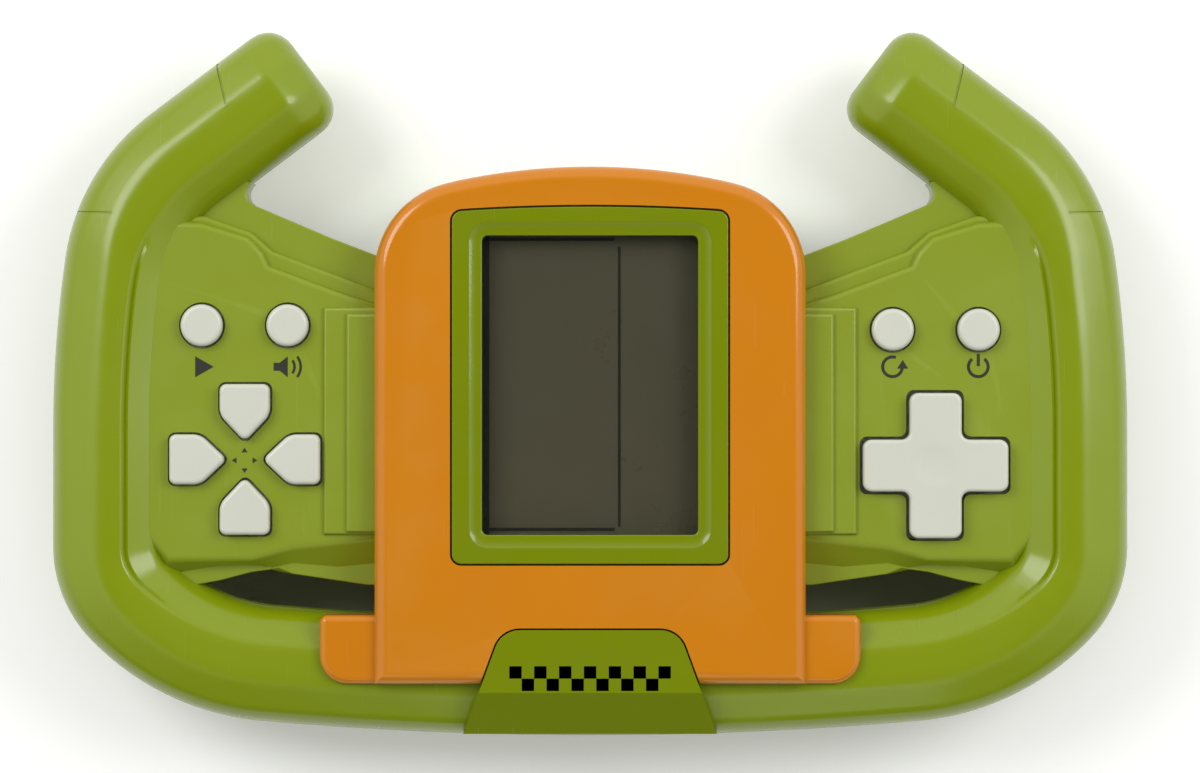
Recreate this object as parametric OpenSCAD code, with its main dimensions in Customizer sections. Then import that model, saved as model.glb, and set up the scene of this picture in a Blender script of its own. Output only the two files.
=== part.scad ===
// Handheld block-game console shaped like an open-topped steering wheel.
// It lies on its back: +Z is the way the screen faces, +Y is the top of the screen,
// and the origin is under the middle of the case, on the surface it rests on.

/* [Wheel rim] */
// Width of the rim tube, seen from the front
rim_w = 19; // [17:0.5:21]
// Depth of the rim tube, front to back
rim_depth = 19; // [16:0.5:22]
// Roundness of the rim section, where 2 is an ellipse
rim_power = 2.7; // [2.2:0.1:3.6]
// Faces round one half of the rim section
rim_faces = 12; // [8:2:16]
// Lowest point of the rim, below the middle of the case
rim_low = 57.15; // [54:0.05:60]
// Outer radius of the nearly flat bottom of the rim
bottom_r = 616; // [580:4:640]
// Turn of the bottom arc to each side, degrees
bottom_turn = 5; // [4:0.5:6]
// Outer radius of the slanted stretch below each hand grip
slant_r = 44; // [38:1:50]
// Turn of the slanted stretch, degrees
slant_turn = 41; // [36:1:46]
// Outer radius of the lower corner
corner_r = 22; // [21:0.5:26]
// Straight stretch above the lower corner
side_len = 19; // [14:1:24]
// Outer radius of the long side
side_r = 200; // [150:10:260]
// Turn of the long side, degrees
side_turn = 8; // [6:1:10]
// Outer radius of the shoulder below each horn
shoulder_r = 36; // [32:1:40]
// Turn of the shoulder, degrees
shoulder_turn = 45; // [42:1:48]
// Straight length of each horn
horn_len = 25.2; // [18:0.1:26]
// Radius of the horn's end corners, seen from the front
horn_round = 4.6; // [3:0.1:6]
// Length of the slope on the front of each horn's end
horn_slope = 6.4; // [4:0.2:8]
// How far that slope drops
horn_drop = 3.6; // [2:0.2:4]
// Distance of the grip's groove from the outer edge of the rim
grip_line = 12.4; // [12:0.1:12.8]
// Depth of the grip's groove
grip_depth = 0.7; // [0.4:0.1:0.8]

/* [Case heights] */
// Wall of the moulded shells
wall = 2; // [1.6:0.1:2.4]
// Height of the joint between the two shells
split_z = 15; // [14:0.5:16]
// Front face of the wings
wing_top = 19.5; // [19:0.25:20]
// Front face of the raised button platforms
platform_top = 22.35; // [22:0.05:22.45]
// Back face of the wings
wing_back = 8; // [7:0.5:9]
// Front face of the shell plate that carries the screen
core_top = 25.8; // [25.6:0.1:26]
// Front face of the centre panel, the bezel and the name tab
panel_top = 28; // [27.6:0.1:29]
// Thickness of the back wall
back_wall = 1.8; // [1.6:0.1:2]

/* [Centre block] */
// Half width of the block
block_hw = 34.8; // [34:0.1:36]
// Top of the block's arch, above the middle of the case
block_y1 = 35.3; // [34.5:0.1:36.5]
// Radius of the block's shoulders
block_r = 15; // [13:0.5:16]
// Height of the centre of the block's shoulders
block_round_y = 18; // [17:0.5:19]
// Slope of the arch where it meets the shoulders, degrees
block_arch_slope = 13; // [11:0.5:15]
// Lower edge of the centre panel
block_y0 = -48.2; // [-49:0.1:-47]
// Lower edge of the block's back
back_y0 = -37.5; // [-38:0.1:-37]
// Slope of the block's back wall, measured as its inset
back_draft = 2.2; // [1:0.1:2.6]
// Bevel round the centre panel's face
panel_bevel = 1.6; // [1:0.1:2]
// Gap between the centre panel and the shell plate inside it
panel_gap = 0.1; // [0.05:0.05:0.2]
// Half width over the panel's ears
ear_hw = 43.7; // [42:0.1:45]
// Top of the ears
ear_y1 = -37.1; // [-37.6:0.1:-36.6]
// Front face of the ears
ear_top = 26; // [25.6:0.1:26.4]
// Radius of the ears' lower corners
ear_r = 4.5; // [3:0.5:5.5]

/* [Screen] */
// Width of the viewing window
window_w = 34.8; // [33:0.1:36]
// Height of the viewing window
window_h = 48.2; // [46:0.1:50]
// Width of the bezel
bezel_w = 44.5; // [44:0.1:46]
// Height of the bezel
bezel_h = 57.5; // [57:0.1:59]
// Width of the cove inside the bezel
cove = 2; // [1.5:0.1:2.4]
// Gap round the bezel and the name tab
trim_gap = 0.2; // [0.1:0.05:0.3]
// How far the lens overlaps the window on each side
lens_lap = 1.4; // [1:0.1:1.8]
// Thickness of the lens
lens_t = 1; // [0.8:0.1:1.2]
// Width of the display glass
glass_w = 39; // [38:0.5:40]
// Height of the display glass
glass_h = 54; // [53:0.5:55]
// Thickness of the display glass
glass_t = 2.3; // [2:0.1:2.4]

/* [Wings] */
// Height of the wing's top edge where it meets the block
wing_y1 = 21.2; // [20.5:0.1:22]
// Height of the wing's lower edge where it meets the block
wing_y0 = -32.5; // [-33:0.1:-32]
// Spread of each platform's bevel
platform_bevel = 1.6; // [1:0.1:2]
// Height of the terrace along each platform's upper edge
terrace_h = 1.4; // [1:0.1:1.8]
// Height of the lower step between the platform and the block
low_step = 0.8; // [0.4:0.1:1.2]
// Height of the upper step
high_step = 1.6; // [1.3:0.1:2]
// Distance of the lower step's edge from the middle
low_step_x = 43.2; // [42.6:0.1:43.2]
// Distance of the upper step's edge from the middle
high_step_x = 39.5; // [38.6:0.1:40.4]

/* [Buttons] */
// Diameter of a round button
button_d = 6.8; // [6.4:0.1:7.4]
// Gap round each button
button_gap = 0.3; // [0.2:0.05:0.35]
// Height that a button stands above its platform
button_rise = 1.8; // [1.4:0.1:2.4]
// Travel of a button
button_travel = 1; // [0.8:0.1:1.2]
// Distance of the inner round buttons from the middle
inner_button_x = 49; // [48.5:0.1:49.5]
// Distance of the outer round buttons from the middle
outer_button_x = 62.9; // [62.4:0.1:63.4]
// Height of the left round buttons
left_button_y = 9.7; // [9:0.1:10.4]
// Height of the right round buttons
right_button_y = 9; // [8.6:0.1:9.8]
// Distance of the pads' centres from the middle
pad_x = 55.9; // [55.4:0.1:56.4]
// Height of the direction keys' centre
keys_y = -12; // [-12.6:0.1:-11.4]
// Height of the cross pad's centre
cross_y = -13; // [-13.4:0.1:-12.6]
// Width of a direction key
key_w = 8.1; // [7.8:0.1:8.4]
// Distance from the centre to a key's point
key_tip = 2.9; // [2.6:0.1:3.2]
// Distance from the centre to a key's shoulders
key_shoulder = 7.2; // [6.9:0.1:7.5]
// Distance from the centre to a key's outer end
key_end = 12.2; // [12:0.1:12.4]
// Span of the cross pad
cross_span = 23.5; // [23:0.1:24]
// Width of the cross pad's arms
cross_arm = 8.4; // [8:0.1:8.8]
// Gap round the cross pad
cross_gap = 0.45; // [0.4:0.05:0.5]

/* [Rubber mats and boards] */
// Thickness of the key boards
board_t = 1.2; // [1:0.1:1.4]
// Thickness of the rubber mats
mat_t = 1; // [0.8:0.1:1.2]
// Height of a rubber dome
dome_h = 2.1; // [1.9:0.1:2.2]
// Diameter of a rubber dome at its foot
dome_d = 6.6; // [6:0.1:7]
// Gap between parts that only lie on each other
seat_gap = 0.05; // [0.02:0.01:0.08]

/* [Batteries] */
// Diameter of a cell
cell_d = 14.2; // [13.8:0.1:14.4]
// Length of a cell without its cap
cell_len = 49.2; // [48.8:0.1:49.6]
// Distance between the cells' axes
cell_pitch = 15.2; // [14.8:0.1:15.4]
// Height of the cells' axes above the rest surface
cell_z = 9.15; // [9.05:0.05:9.25]
// Middle of the battery box
box_y = -18.25; // [-18.5:0.05:-18]
// Wall of the battery box
box_wall = 1.5; // [1.2:0.1:1.6]
// How far the door's face lies inside the back
door_inset = 0.3; // [0.2:0.05:0.4]
// Thickness of the door
door_t = 1.5; // [1.4:0.1:1.6]
// Width of the door's side tongues
tongue = 1.6; // [1.2:0.1:1.8]
// Running gap of the door
door_gap = 0.15; // [0.1:0.05:0.2]

/* [Speaker] */
// Diameter of the speaker
speaker_d = 26; // [24:0.5:27]
// Height of the speaker's centre
speaker_y = 16; // [15.5:0.25:16.5]
// Depth of the speaker
speaker_t = 5; // [4:0.25:6]
// Diameter of a sound hole
sound_d = 1.6; // [1.2:0.1:1.8]
// Distance between sound holes
sound_pitch = 3.2; // [3:0.1:3.6]

/* [Screws] */
// Diameter of a case screw
screw_d = 2.3; // [2:0.1:2.6]
// Diameter of a case screw's head
screw_head_d = 4.4; // [4:0.1:4.8]
// Diameter of a board screw
small_screw_d = 1.6; // [1.4:0.1:1.8]
// Diameter of a board screw's head
small_head_d = 3; // [2.8:0.1:3.2]

/* [Hidden] */
$fn = 48;
tiny = 0.01;

// Heights that follow from the sizes above
platform_under = platform_top - wall;
flange_top = platform_under - 0.1;
flange_t = 1.2;
board_z = 14;
mat_z = board_z + board_t + seat_gap;
dome_top = mat_z + mat_t + dome_h;
lens_z = core_top - seat_gap - lens_t;
glass_z = core_top - wall - 0.2 - glass_t;
main_t = 1.2;
main_z = 17.8;
box_roof = cell_z + cell_d / 2 + 0.2;
box_hw = cell_len / 2 + 3.9;
box_y1 = box_y + cell_pitch / 2 + cell_d / 2 + 1.05;
box_y0 = box_y - cell_pitch / 2 - cell_d / 2 - 1.05;
door_hw = box_hw + 0.5;
door_y1 = box_y1 + 1.3;
door_z0 = door_inset;
door_z1 = door_inset + door_t;
ear_bevel = 1;
// Ends of the steps beside the block, and the chamfer on their edges
steps_y0 = -24.2;
steps_y1 = 11.6;
step_edge = 0.3;

// Unit vectors: along a rim direction, and outward from the rim at that direction
function way(d) = [cos(d), sin(d)];
function out(d) = [sin(d), -cos(d)];
// Points on an arc
function arc(c, r, a0, a1, n) = [for (i = [0:n]) c + r * way(a0 + (a1 - a0) * i / n)];
// The same points on the other side of the case, in the same turning order
function flip(points) = [for (i = [len(points) - 1:-1:0]) [-points[i].x, points[i].y]];

// The rim's arcs, from the bottom up, as the directions where they meet and their centres
dir_a = bottom_turn;
dir_b = dir_a + slant_turn;
dir_c = 90 + side_turn;
dir_d = dir_c + shoulder_turn;
bottom_c = [0, bottom_r - rim_low];
slant_c = bottom_c + (bottom_r - slant_r) * out(dir_a);
corner_c = slant_c + (slant_r - corner_r) * out(dir_b);
side_c = corner_c + [corner_r - side_r, side_len];
shoulder_c = side_c + (side_r - shoulder_r) * out(dir_c);
side_end = corner_c + [corner_r - rim_w / 2, side_len];
horn_start = shoulder_c + (shoulder_r - rim_w / 2) * out(dir_d);
horn_end = horn_start + horn_len * way(dir_d);

// Where the case screws stand
horn_screw = horn_start + horn_len * 0.45 * way(dir_d);
low_screw = slant_c + (slant_r - rim_w / 2) * out(dir_a + slant_turn * 0.62);
wing_screw = [37.6, -8];
case_screw_at = [for (s = [-1, 1], p = [horn_screw, low_screw, wing_screw]) [s * p.x, p.y]];
key_screw_at = [[42.7, 13.6], [42.7, -22.5], [71.6, 2], [71.6, -20]];
main_screw_at = [[23.8, 23.5]];
// Where the main board's lower corners lie against the front shell
main_peg_at = [[26.2, -30.5]];

// Half of the rim section, as a superellipse cut off by the joint between the shells
function rim_half(grow, n) =
    let (a = rim_w / 2 + grow, b = rim_depth / 2 + grow)
    [for (i = [0:n])
        let (t = 180 * i / n, c = cos(t), s = sin(t))
        [a * sign(c) * pow(abs(c), 2 / rim_power), b * pow(abs(s), 2 / rim_power)]];

// Places along an arc of the rim's middle line, each with its outward direction
function rim_stops(c, r, d0, d1, n) =
    [for (i = [1:n]) let (d = d0 + (d1 - d0) * i / n) [c + (r - rim_w / 2) * out(d), out(d)]];

// The right half of the rim's middle line, from the bottom to the end of the horn
function rim_right(end_cut) = concat(rim_stops(bottom_c, bottom_r, 0, dir_a, 4),
    rim_stops(slant_c, slant_r, dir_a, dir_b, 6), rim_stops(corner_c, corner_r, dir_b, 90, 6),
    [[side_end, out(90)]], rim_stops(side_c, side_r, 90, dir_c, 2),
    rim_stops(shoulder_c, shoulder_r, dir_c, dir_d, 7),
    [[horn_end - end_cut * way(dir_d), out(dir_d)]]);

function rim_line(end_cut) =
    let (right = rim_right(end_cut))
    concat([for (i = [len(right) - 1:-1:0]) [[-right[i][0].x, right[i][0].y], [-right[i][1].x, right[i][1].y]]],
        [[[0, -rim_low + rim_w / 2], [0, -1]]], right);

// The rim above the joint, swept along its middle line
module rim_front(grow = 0, n = rim_faces) {
    section = rim_half(grow, n);
    stops = rim_line(max(-grow, 0));
    m = len(section);
    last = len(stops) - 1;
    points = [for (s = stops, p = section) [s[0].x + p.x * s[1].x, s[0].y + p.x * s[1].y, p.y]];
    sides = [for (i = [0:last - 1], j = [0:m - 1])
        [i * m + j, i * m + (j + 1) % m, (i + 1) * m + (j + 1) % m, (i + 1) * m + j]];
    polyhedron(points, concat(sides, [[for (j = [m - 1:-1:0]) j]], [[for (j = [0:m - 1]) last * m + j]]));
}

module rim(front, grow = 0) {
    translate([0, 0, split_z])
        mirror([0, 0, front ? 0 : 1])
            rim_front(grow, grow < 0 ? 8 : rim_faces);
}

// The bottom of the rim with true arcs, for cutting what lies on it
module rim_bottom(grow) {
    translate([bottom_c.x, bottom_c.y, split_z])
        rotate_extrude(angle = 2 * dir_a, start = -90 - dir_a, $fn = 360)
            translate([bottom_r - rim_w / 2, 0])
                polygon(rim_half(grow, rim_faces));
}

// What is cut off the horns' ends to round them
module horn_corners() {
    r = horn_round;
    n = 4;
    for (s = [0, 1], t = [0, 1])
        mirror([s, 0, 0])
            translate([horn_end.x, horn_end.y, split_z])
                rotate(dir_d)
                    mirror([0, t, 0])
                        translate([-r, rim_w / 2 - r, -rim_depth])
                            linear_extrude(2 * rim_depth)
                                polygon(concat(arc([0, 0], 1.04 * r, 0, 90, n), [[0, r + 2], [r + 2, r + 2], [r + 2, 0]]));
}

// What is cut off the front of the horns' ends to slope them
module horn_slopes() {
    for (s = [0, 1])
        mirror([s, 0, 0])
            translate([horn_end.x, horn_end.y, split_z + rim_depth / 2])
                rotate(dir_d)
                    rotate([90, 0, 0])
                        linear_extrude(2 * rim_w, center = true)
                            polygon([[-horn_slope, 0], [1, -horn_drop * (1 + 1 / horn_slope)], [1, 2], [-horn_slope, 2]]);
}

// The groove along the inner side of each hand grip
module grip_grooves() {
    stops = concat(rim_stops(corner_c, corner_r, 72, 90, 3), [[side_end, out(90)]], rim_stops(side_c, side_r, 90, dir_c, 2),
        rim_stops(shoulder_c, shoulder_r, dir_c, dir_c + 14, 3));
    at = rim_w / 2 - grip_line;
    front = split_z + rim_depth / 2;
    section = [[at, front - 0.15 - grip_depth], [at + 0.6, front + 1], [at - 0.6, front + 1]];
    last = len(stops) - 1;
    points = [for (p = stops, q = section) [p[0].x + q.x * p[1].x, p[0].y + q.x * p[1].y, q.y]];
    sides = [for (i = [0:last - 1], j = [0:2])
        [i * 3 + j, i * 3 + (j + 1) % 3, (i + 1) * 3 + (j + 1) % 3, (i + 1) * 3 + j]];
    for (s = [0, 1])
        mirror([s, 0, 0])
            polyhedron(points, concat(sides, [[2, 1, 0]], [[last * 3, last * 3 + 1, last * 3 + 2]]));
}

// Right side of the block's outline, from the lower edge up to the arch
function block_half(y0) = concat([[block_hw, y0]],
    arc([block_hw - block_r, block_round_y], block_r, 0, 90 - block_arch_slope, 6));
// The arch over the block
function arch_r() = (block_hw - block_r + block_r * sin(block_arch_slope)) / sin(block_arch_slope);
function block_arch() = arc([0, block_y1 - arch_r()], arch_r(),
    90 - block_arch_slope, 90 + block_arch_slope, 8);
function block_outline(y0) = concat(block_half(y0),
    [for (i = [1:7]) block_arch()[i]], flip(block_half(y0)));

module block_shape(inset = 0, y0 = block_y0) {
    offset(delta = -inset)
        polygon(block_outline(y0));
}

// One wing, seen from the front, with its outer edge inside the rim
wing_outline = concat([[block_hw - 6, wing_y0], [block_hw + 1.4, wing_y0]],
    arc([50.8, -33.7], 4, 122, 84, 3),
    [[60, wing_y0 + 0.8], [65.3, wing_y0 - 0.2], [70.5, -36.8], [76.2, -29], [78.2, -15],
        [77.6, 5], [75.5, 18], [70.5, 27], [65, 33.6], [57, 33.4]],
        arc([53.8, 31.3], 2.2, 53, -67, 4),
        [[41.7, 23.8], [block_hw + 0.5, wing_y1], [block_hw - 6, wing_y1 - 2.6]]);

// Everything on the right that lies further inside than a given depth of the rim
function rim_inside(d) = concat([[0, -30]],
    arc(slant_c, slant_r - d, dir_a - 90, dir_b - 90, 8), arc(corner_c, corner_r - d, dir_b - 90, 0, 4),
    arc(side_c, side_r - d, 0, side_turn, 4), arc(shoulder_c, shoulder_r - d, side_turn, dir_d - 90, 6),
    [shoulder_c + (shoulder_r - d) * out(dir_d) + horn_len * way(dir_d), [0, 60]]);

module wings(inset = 0) {
    for (s = [0, 1])
        mirror([s, 0, 0])
            intersection() {
                offset(delta = -inset)
                    polygon(wing_outline);
                polygon(rim_inside(rim_w - 1.3));
            }
}

// The hollow in the wings, which runs on into the rim
module wing_hollow(z0, z1) {
    for (s = [0, 1])
        mirror([s, 0, 0])
            translate([0, 0, z0])
                linear_extrude(z1 - z0)
                    offset(delta = -wall)
                        polygon(wing_outline);
}

// A platform is two overlapping faces, the large one and the hump round the upper buttons,
// each on a wider foot
platform_low = [[block_hw - 2, -24.4], [48.4, -26.4], [54.8, -28.3], [68.5, -28.3], [73.6, -22], [73.9, -8],
    [73.6, 10], [71, 19.2], [52.3, 19.2], [block_hw - 2, 12.3]];
platform_hump = [[53.3, 6], [73.6, 6], [72.9, 18], [71.4, 23.9], [67.1, 26.3], [63, 26.1],
    [55.6, 23.8], [53.3, 21.4]];
// The lower edge of the large face's foot, where the wing slopes down to the opening below it
foot_low = [[block_hw - 2, -31.9], [66, -31.9]];

module platform_face(points, inset = 0) {
    intersection() {
        offset(delta = -inset)
            polygon(points);
        polygon(rim_inside(rim_w - 2.5));
    }
}

module platform(points) {
    hull() {
        translate([0, 0, wing_top - 0.5])
            linear_extrude(0.5)
                platform_face(points, -platform_bevel);
        translate([0, 0, platform_top - 0.5])
            linear_extrude(0.5)
                platform_face(points);
    }
}

// The lower slopes of the wings, kept inside the wings' outline
module wing_slopes() {
    intersection() {
        for (s = [0, 1])
            mirror([s, 0, 0])
                hull() {
                    translate([0, 0, wing_top - 0.5])
                        linear_extrude(0.5)
                            polygon(concat(foot_low, [[66, -26], [block_hw - 2, -22]]));
                    translate([0, 0, platform_top - 0.6])
                        linear_extrude(0.4)
                            polygon([[block_hw - 2, -24.8], [54.8, -28.7], [64, -28.7], [64, -26], [block_hw - 2, -22]]);
                }
        translate([0, 0, wing_top - 1])
            linear_extrude(platform_top)
                wings(0.3);
    }
}

// A lower terrace along the upper edge of each platform
terrace_outline = [[block_hw - 2, 0], [70, 0], [73.2, 18], [72.3, 24.6], [67.4, 27.5], [62.4, 27.4],
    [55, 24.9], [51.5, 21.8], [40.3, 17.6], [block_hw - 2, 15]];
module terraces() {
    for (s = [0, 1])
        mirror([s, 0, 0])
            intersection() {
                translate([0, 0, wing_top - 0.4])
                    linear_extrude(terrace_h + 0.4)
                        polygon(terrace_outline);
                translate([0, 0, wing_top - 1])
                    linear_extrude(platform_top)
                        polygon(rim_inside(rim_w - 2.2));
            }
}

// The two steps up from each platform to the block, drawn as one profile with chamfered edges
module steps() {
    low_z = platform_top + low_step;
    high_z = platform_top + high_step;
    for (s = [0, 1])
        mirror([s, 0, 0])
            translate([0, steps_y1, 0])
                rotate([90, 0, 0])
                    linear_extrude(steps_y1 - steps_y0)
                        polygon([[block_hw - 1, platform_top - 1], [low_step_x, platform_top - 1],
                            [low_step_x, low_z - step_edge], [low_step_x - step_edge, low_z], [high_step_x, low_z],
                            [high_step_x, high_z - step_edge], [high_step_x - step_edge, high_z], [block_hw - 1, high_z]]);
}

module platforms() {
    difference() {
        union() {
            for (s = [0, 1], points = [platform_low, platform_hump])
                mirror([s, 0, 0])
                    platform(points);
            wing_slopes();
            terraces();
            steps();
        }
        translate([-block_hw - panel_gap, -50, split_z])
            cube([2 * (block_hw + panel_gap), 100, 20]);
    }
}

module platform_hollow() {
    for (s = [0, 1])
        mirror([s, 0, 0])
            translate([0, 0, split_z - 1])
                linear_extrude(platform_under - split_z + 1)
                    for (points = [platform_low, platform_hump])
                        offset(delta = -1.2)
                            polygon(points);
}

// Outlines of the moving keys
function home_plate() = [[0, -key_tip], [key_w / 2, -key_shoulder], [key_w / 2, -key_end],
    [-key_w / 2, -key_end], [-key_w / 2, -key_shoulder]];

module key_shape(turn, grow = 0) {
    translate([-pad_x, keys_y])
        rotate(turn)
            offset(delta = grow)
                polygon(home_plate());
}

module cross_shape(grow = 0) {
    a = cross_arm / 2 + grow;
    b = cross_span / 2 + grow;
    c = 1;
    quarter = [[b, a - c], [b - c, a], [a + c, a], [a, a + c], [a, b - c], [a - c, b]];
    translate([pad_x, cross_y])
        polygon([for (q = [0:3], p = quarter) [p.x * cos(90 * q) - p.y * sin(90 * q),
            p.x * sin(90 * q) + p.y * cos(90 * q)]]);
}

module tab_shape(grow = 0) {
    top = ear_y1 - 2.3;
    offset(delta = grow)
        polygon(concat([[20.6, -56.5], [17.2, -47.5], [15.4, top - 2.6]],
            arc([12.4, top - 2.4], 2.4, 20, 90, 3), flip(arc([12.4, top - 2.4], 2.4, 20, 90, 3)),
            [[-15.4, top - 2.6], [-17.2, -47.5], [-20.6, -56.5]]));
}

// The panel's body before anything is cut from it
module panel_body(grow = 0) {
    foot = wing_top + seat_gap;
    hull() {
        translate([0, 0, foot])
            linear_extrude(panel_top - panel_bevel - foot)
                block_shape(-grow);
        translate([0, 0, panel_top - tiny])
            linear_extrude(tiny)
                block_shape(panel_bevel - grow);
    }
    hull() {
        translate([0, 0, foot])
            linear_extrude(ear_top - ear_bevel - foot)
                ears_shape(-grow);
        translate([0, 0, ear_top - tiny])
            linear_extrude(tiny)
                ears_shape(ear_bevel - grow);
    }
}

module ears_shape(inset = 0) {
    low = arc([ear_hw - ear_r, block_y0 + ear_r], ear_r, -90, 0, 4);
    offset(delta = -inset)
        polygon(concat(low, [[ear_hw, ear_y1 - 1], [ear_hw - 1, ear_y1], [1 - ear_hw, ear_y1], [-ear_hw, ear_y1 - 1]],
            flip(low)));
}

// The raised plate under the centre panel
core_inset = 2.1;
core_y0 = -38;
module core_shape(inset = 0) {
    block_shape(core_inset + inset, core_y0 - core_inset - inset);
}

module window_cut(w, h, z0, z1) {
    translate([-w / 2, -h / 2, z0])
        cube([w, h, z1 - z0]);
}

// The outside of the front shell, also used to fit what lies on it
module front_outside(grow = 0) {
    rim(true, grow);
    translate([0, 0, split_z])
        linear_extrude(wing_top - split_z + grow) {
            wings();
            block_shape(0, back_y0 - 3);
        }
    platforms();
    translate([0, 0, split_z])
        linear_extrude(core_top - split_z + grow)
            core_shape(-grow);
}

// What the centre panel and the name tab lie on: the raised plate and the lower rim
module panel_seat(gap) {
    rim_bottom(gap);
    translate([0, 0, split_z - 1])
        linear_extrude(core_top - split_z + 1 + gap)
            core_shape(-gap);
}

module boss(p, d, z0, z1) {
    translate([p.x, p.y, z0])
        cylinder(d = d, h = z1 - z0);
}

module both_sides() {
    children();
    mirror([1, 0, 0])
        children();
}

module front_shell() {
    color("olivedrab")
        difference() {
            union() {
                difference() {
                    front_outside();
                    difference() {
                        rim(true, -wall);
                        translate([0, 0, -wall])
                            horn_slopes();
                    }
                    wing_hollow(split_z - 1, wing_top - wall);
                    translate([0, 0, split_z - 1])
                        linear_extrude(wing_top - wall - split_z + 1)
                            block_shape(wall, back_y0 - 3);
                    platform_hollow();
                    translate([0, 0, split_z - 1])
                        linear_extrude(core_top - wall - split_z + 1)
                            core_shape(wall);
                    window_cut(window_w + 0.8, window_h + 0.8, 15, core_top + 1);
                    window_cut(window_w + 2 * lens_lap + 0.2, window_h + 2 * lens_lap + 0.2,
                        lens_z - seat_gap, core_top + 1);
                }
                for (p = case_screw_at)
                    boss(p, 5.2, split_z + seat_gap,
                        abs(p.x) < 40 ? platform_under + 0.5 : split_z + rim_depth / 2 - wall + 0.5);
                both_sides() {
                    for (p = key_screw_at)
                        boss(p, 3.6, board_z + board_t + seat_gap, platform_under + 0.5);
                    for (p = concat(main_screw_at, main_peg_at))
                        boss(p, 4, main_z + main_t + seat_gap, core_top - wall + 0.5);
                }
            }
            horn_corners();
            horn_slopes();
            grip_grooves();
            for (p = case_screw_at)
                boss(p, screw_d + 0.1, split_z - 1, split_z + 4.6);
            both_sides() {
                for (p = key_screw_at)
                    boss(p, small_screw_d + 0.1, board_z, board_z + board_t + 3.8);
                for (p = main_screw_at)
                    boss(p, small_screw_d + 0.1, main_z, main_z + main_t + 3.8);
            }
            for (s = [-1, 1], x = [inner_button_x, outer_button_x])
                boss([s * x, s < 0 ? left_button_y : right_button_y],
                    button_d + 2 * button_gap, platform_under - 1, platform_top + 1);
            translate([0, 0, platform_under - 1])
                linear_extrude(wall + 2) {
                    for (turn = [0:90:270])
                        key_shape(turn, button_gap);
                    cross_shape(cross_gap);
                }
        }
}

// Sound holes in rows, kept inside a circle
sound_at = [for (i = [-4:4], j = [-4:4])
    let (p = sound_pitch * [i + j / 2, j * sqrt(3) / 2])
    if (norm(p) < speaker_d * 0.36) p + [0, speaker_y]];

module back_block(inset) {
    hull() {
        translate([0, 0, inset > 0 ? back_wall : 0])
            linear_extrude(tiny)
                block_shape(back_draft + inset, back_y0);
        translate([0, 0, wing_back])
            linear_extrude(split_z - wing_back + (inset > 0 ? 1 : 0))
                block_shape(inset, back_y0 - back_draft);
    }
}

module rear_shell() {
    groove_hw = door_hw + tongue + door_gap;
    color("darkolivegreen")
        difference() {
            union() {
                difference() {
                    union() {
                        rim(false);
                        translate([0, 0, wing_back])
                            linear_extrude(split_z - wing_back)
                                wings();
                        back_block(0);
                        translate([-block_hw + 0.3, back_y0 - 4, wing_back - 1])
                            cube([2 * block_hw - 0.6, 7, split_z - wing_back + 1]);
                    }
                    rim(false, -wall);
                    wing_hollow(wing_back + wall, split_z + 1);
                    back_block(wall);
                    translate([-block_hw + wall + 0.3, back_y0 - 5, wing_back + wall])
                        cube([2 * (block_hw - wall) - 0.6, 9, split_z - wing_back]);
                }
                translate([-box_hw - box_wall, box_y0 - box_wall, 0.5])
                    cube([2 * (box_hw + box_wall), box_y1 - box_y0 + 2 * box_wall, box_roof + 0.5]);
                for (s = [-1, 1])
                    translate([s * (door_hw + 1.4) - 2, back_y0 + 0.5, 0.5])
                        cube([4, door_y1 - back_y0, 3.5]);
                translate([0, speaker_y, 0.5])
                    cylinder(d = speaker_d + 3, h = 4.5);
                for (p = case_screw_at)
                    boss(p, 6.2, abs(p.x) < 40 ? wing_back + 0.5 : split_z - rim_depth / 2 + 0.5, split_z);
                both_sides()
                    for (p = [[46, -20], [46, 11], [68, -14], [68, 13]])
                        boss(p, 3, wing_back + wall - 0.5, board_z - seat_gap);
            }
            horn_corners();
            translate([-box_hw, box_y0, -1])
                cube([2 * box_hw, box_y1 - box_y0, box_roof + 1]);
            translate([-door_hw - door_gap, back_y0 - 5, -1])
                cube([2 * (door_hw + door_gap), door_y1 - back_y0 + 5 + door_gap, door_z1 + 1 + door_gap]);
            translate([-groove_hw, back_y0 - 5, door_z1 - 0.8 - door_gap])
                cube([2 * groove_hw, door_y1 - back_y0 + 6 + door_gap, 0.8 + 2 * door_gap]);
            for (p = case_screw_at) {
                boss(p, screw_d + 0.4, 0, split_z + 1);
                boss(p, screw_head_d + 0.4, 0, split_z - 4);
            }
            translate([0, speaker_y, back_wall])
                cylinder(d = speaker_d + 0.4, h = 8);
            for (p = sound_at)
                boss(p, sound_d, -1, back_wall + 1);
            for (s = [-1, 1])
                translate([s * (box_hw - 0.9) - 1, box_y1 - 6, box_roof - 1])
                    cube([2, 3, 3]);
        }
}

module centre_panel() {
    color("darkorange")
        difference() {
            panel_body();
            panel_seat(panel_gap);
            window_cut(bezel_w + 2 * trim_gap, bezel_h + 2 * trim_gap, wing_top, panel_top + 1);
            translate([0, 0, wing_top - 1])
                linear_extrude(panel_top)
                    tab_shape(trim_gap);
        }
}

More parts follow.
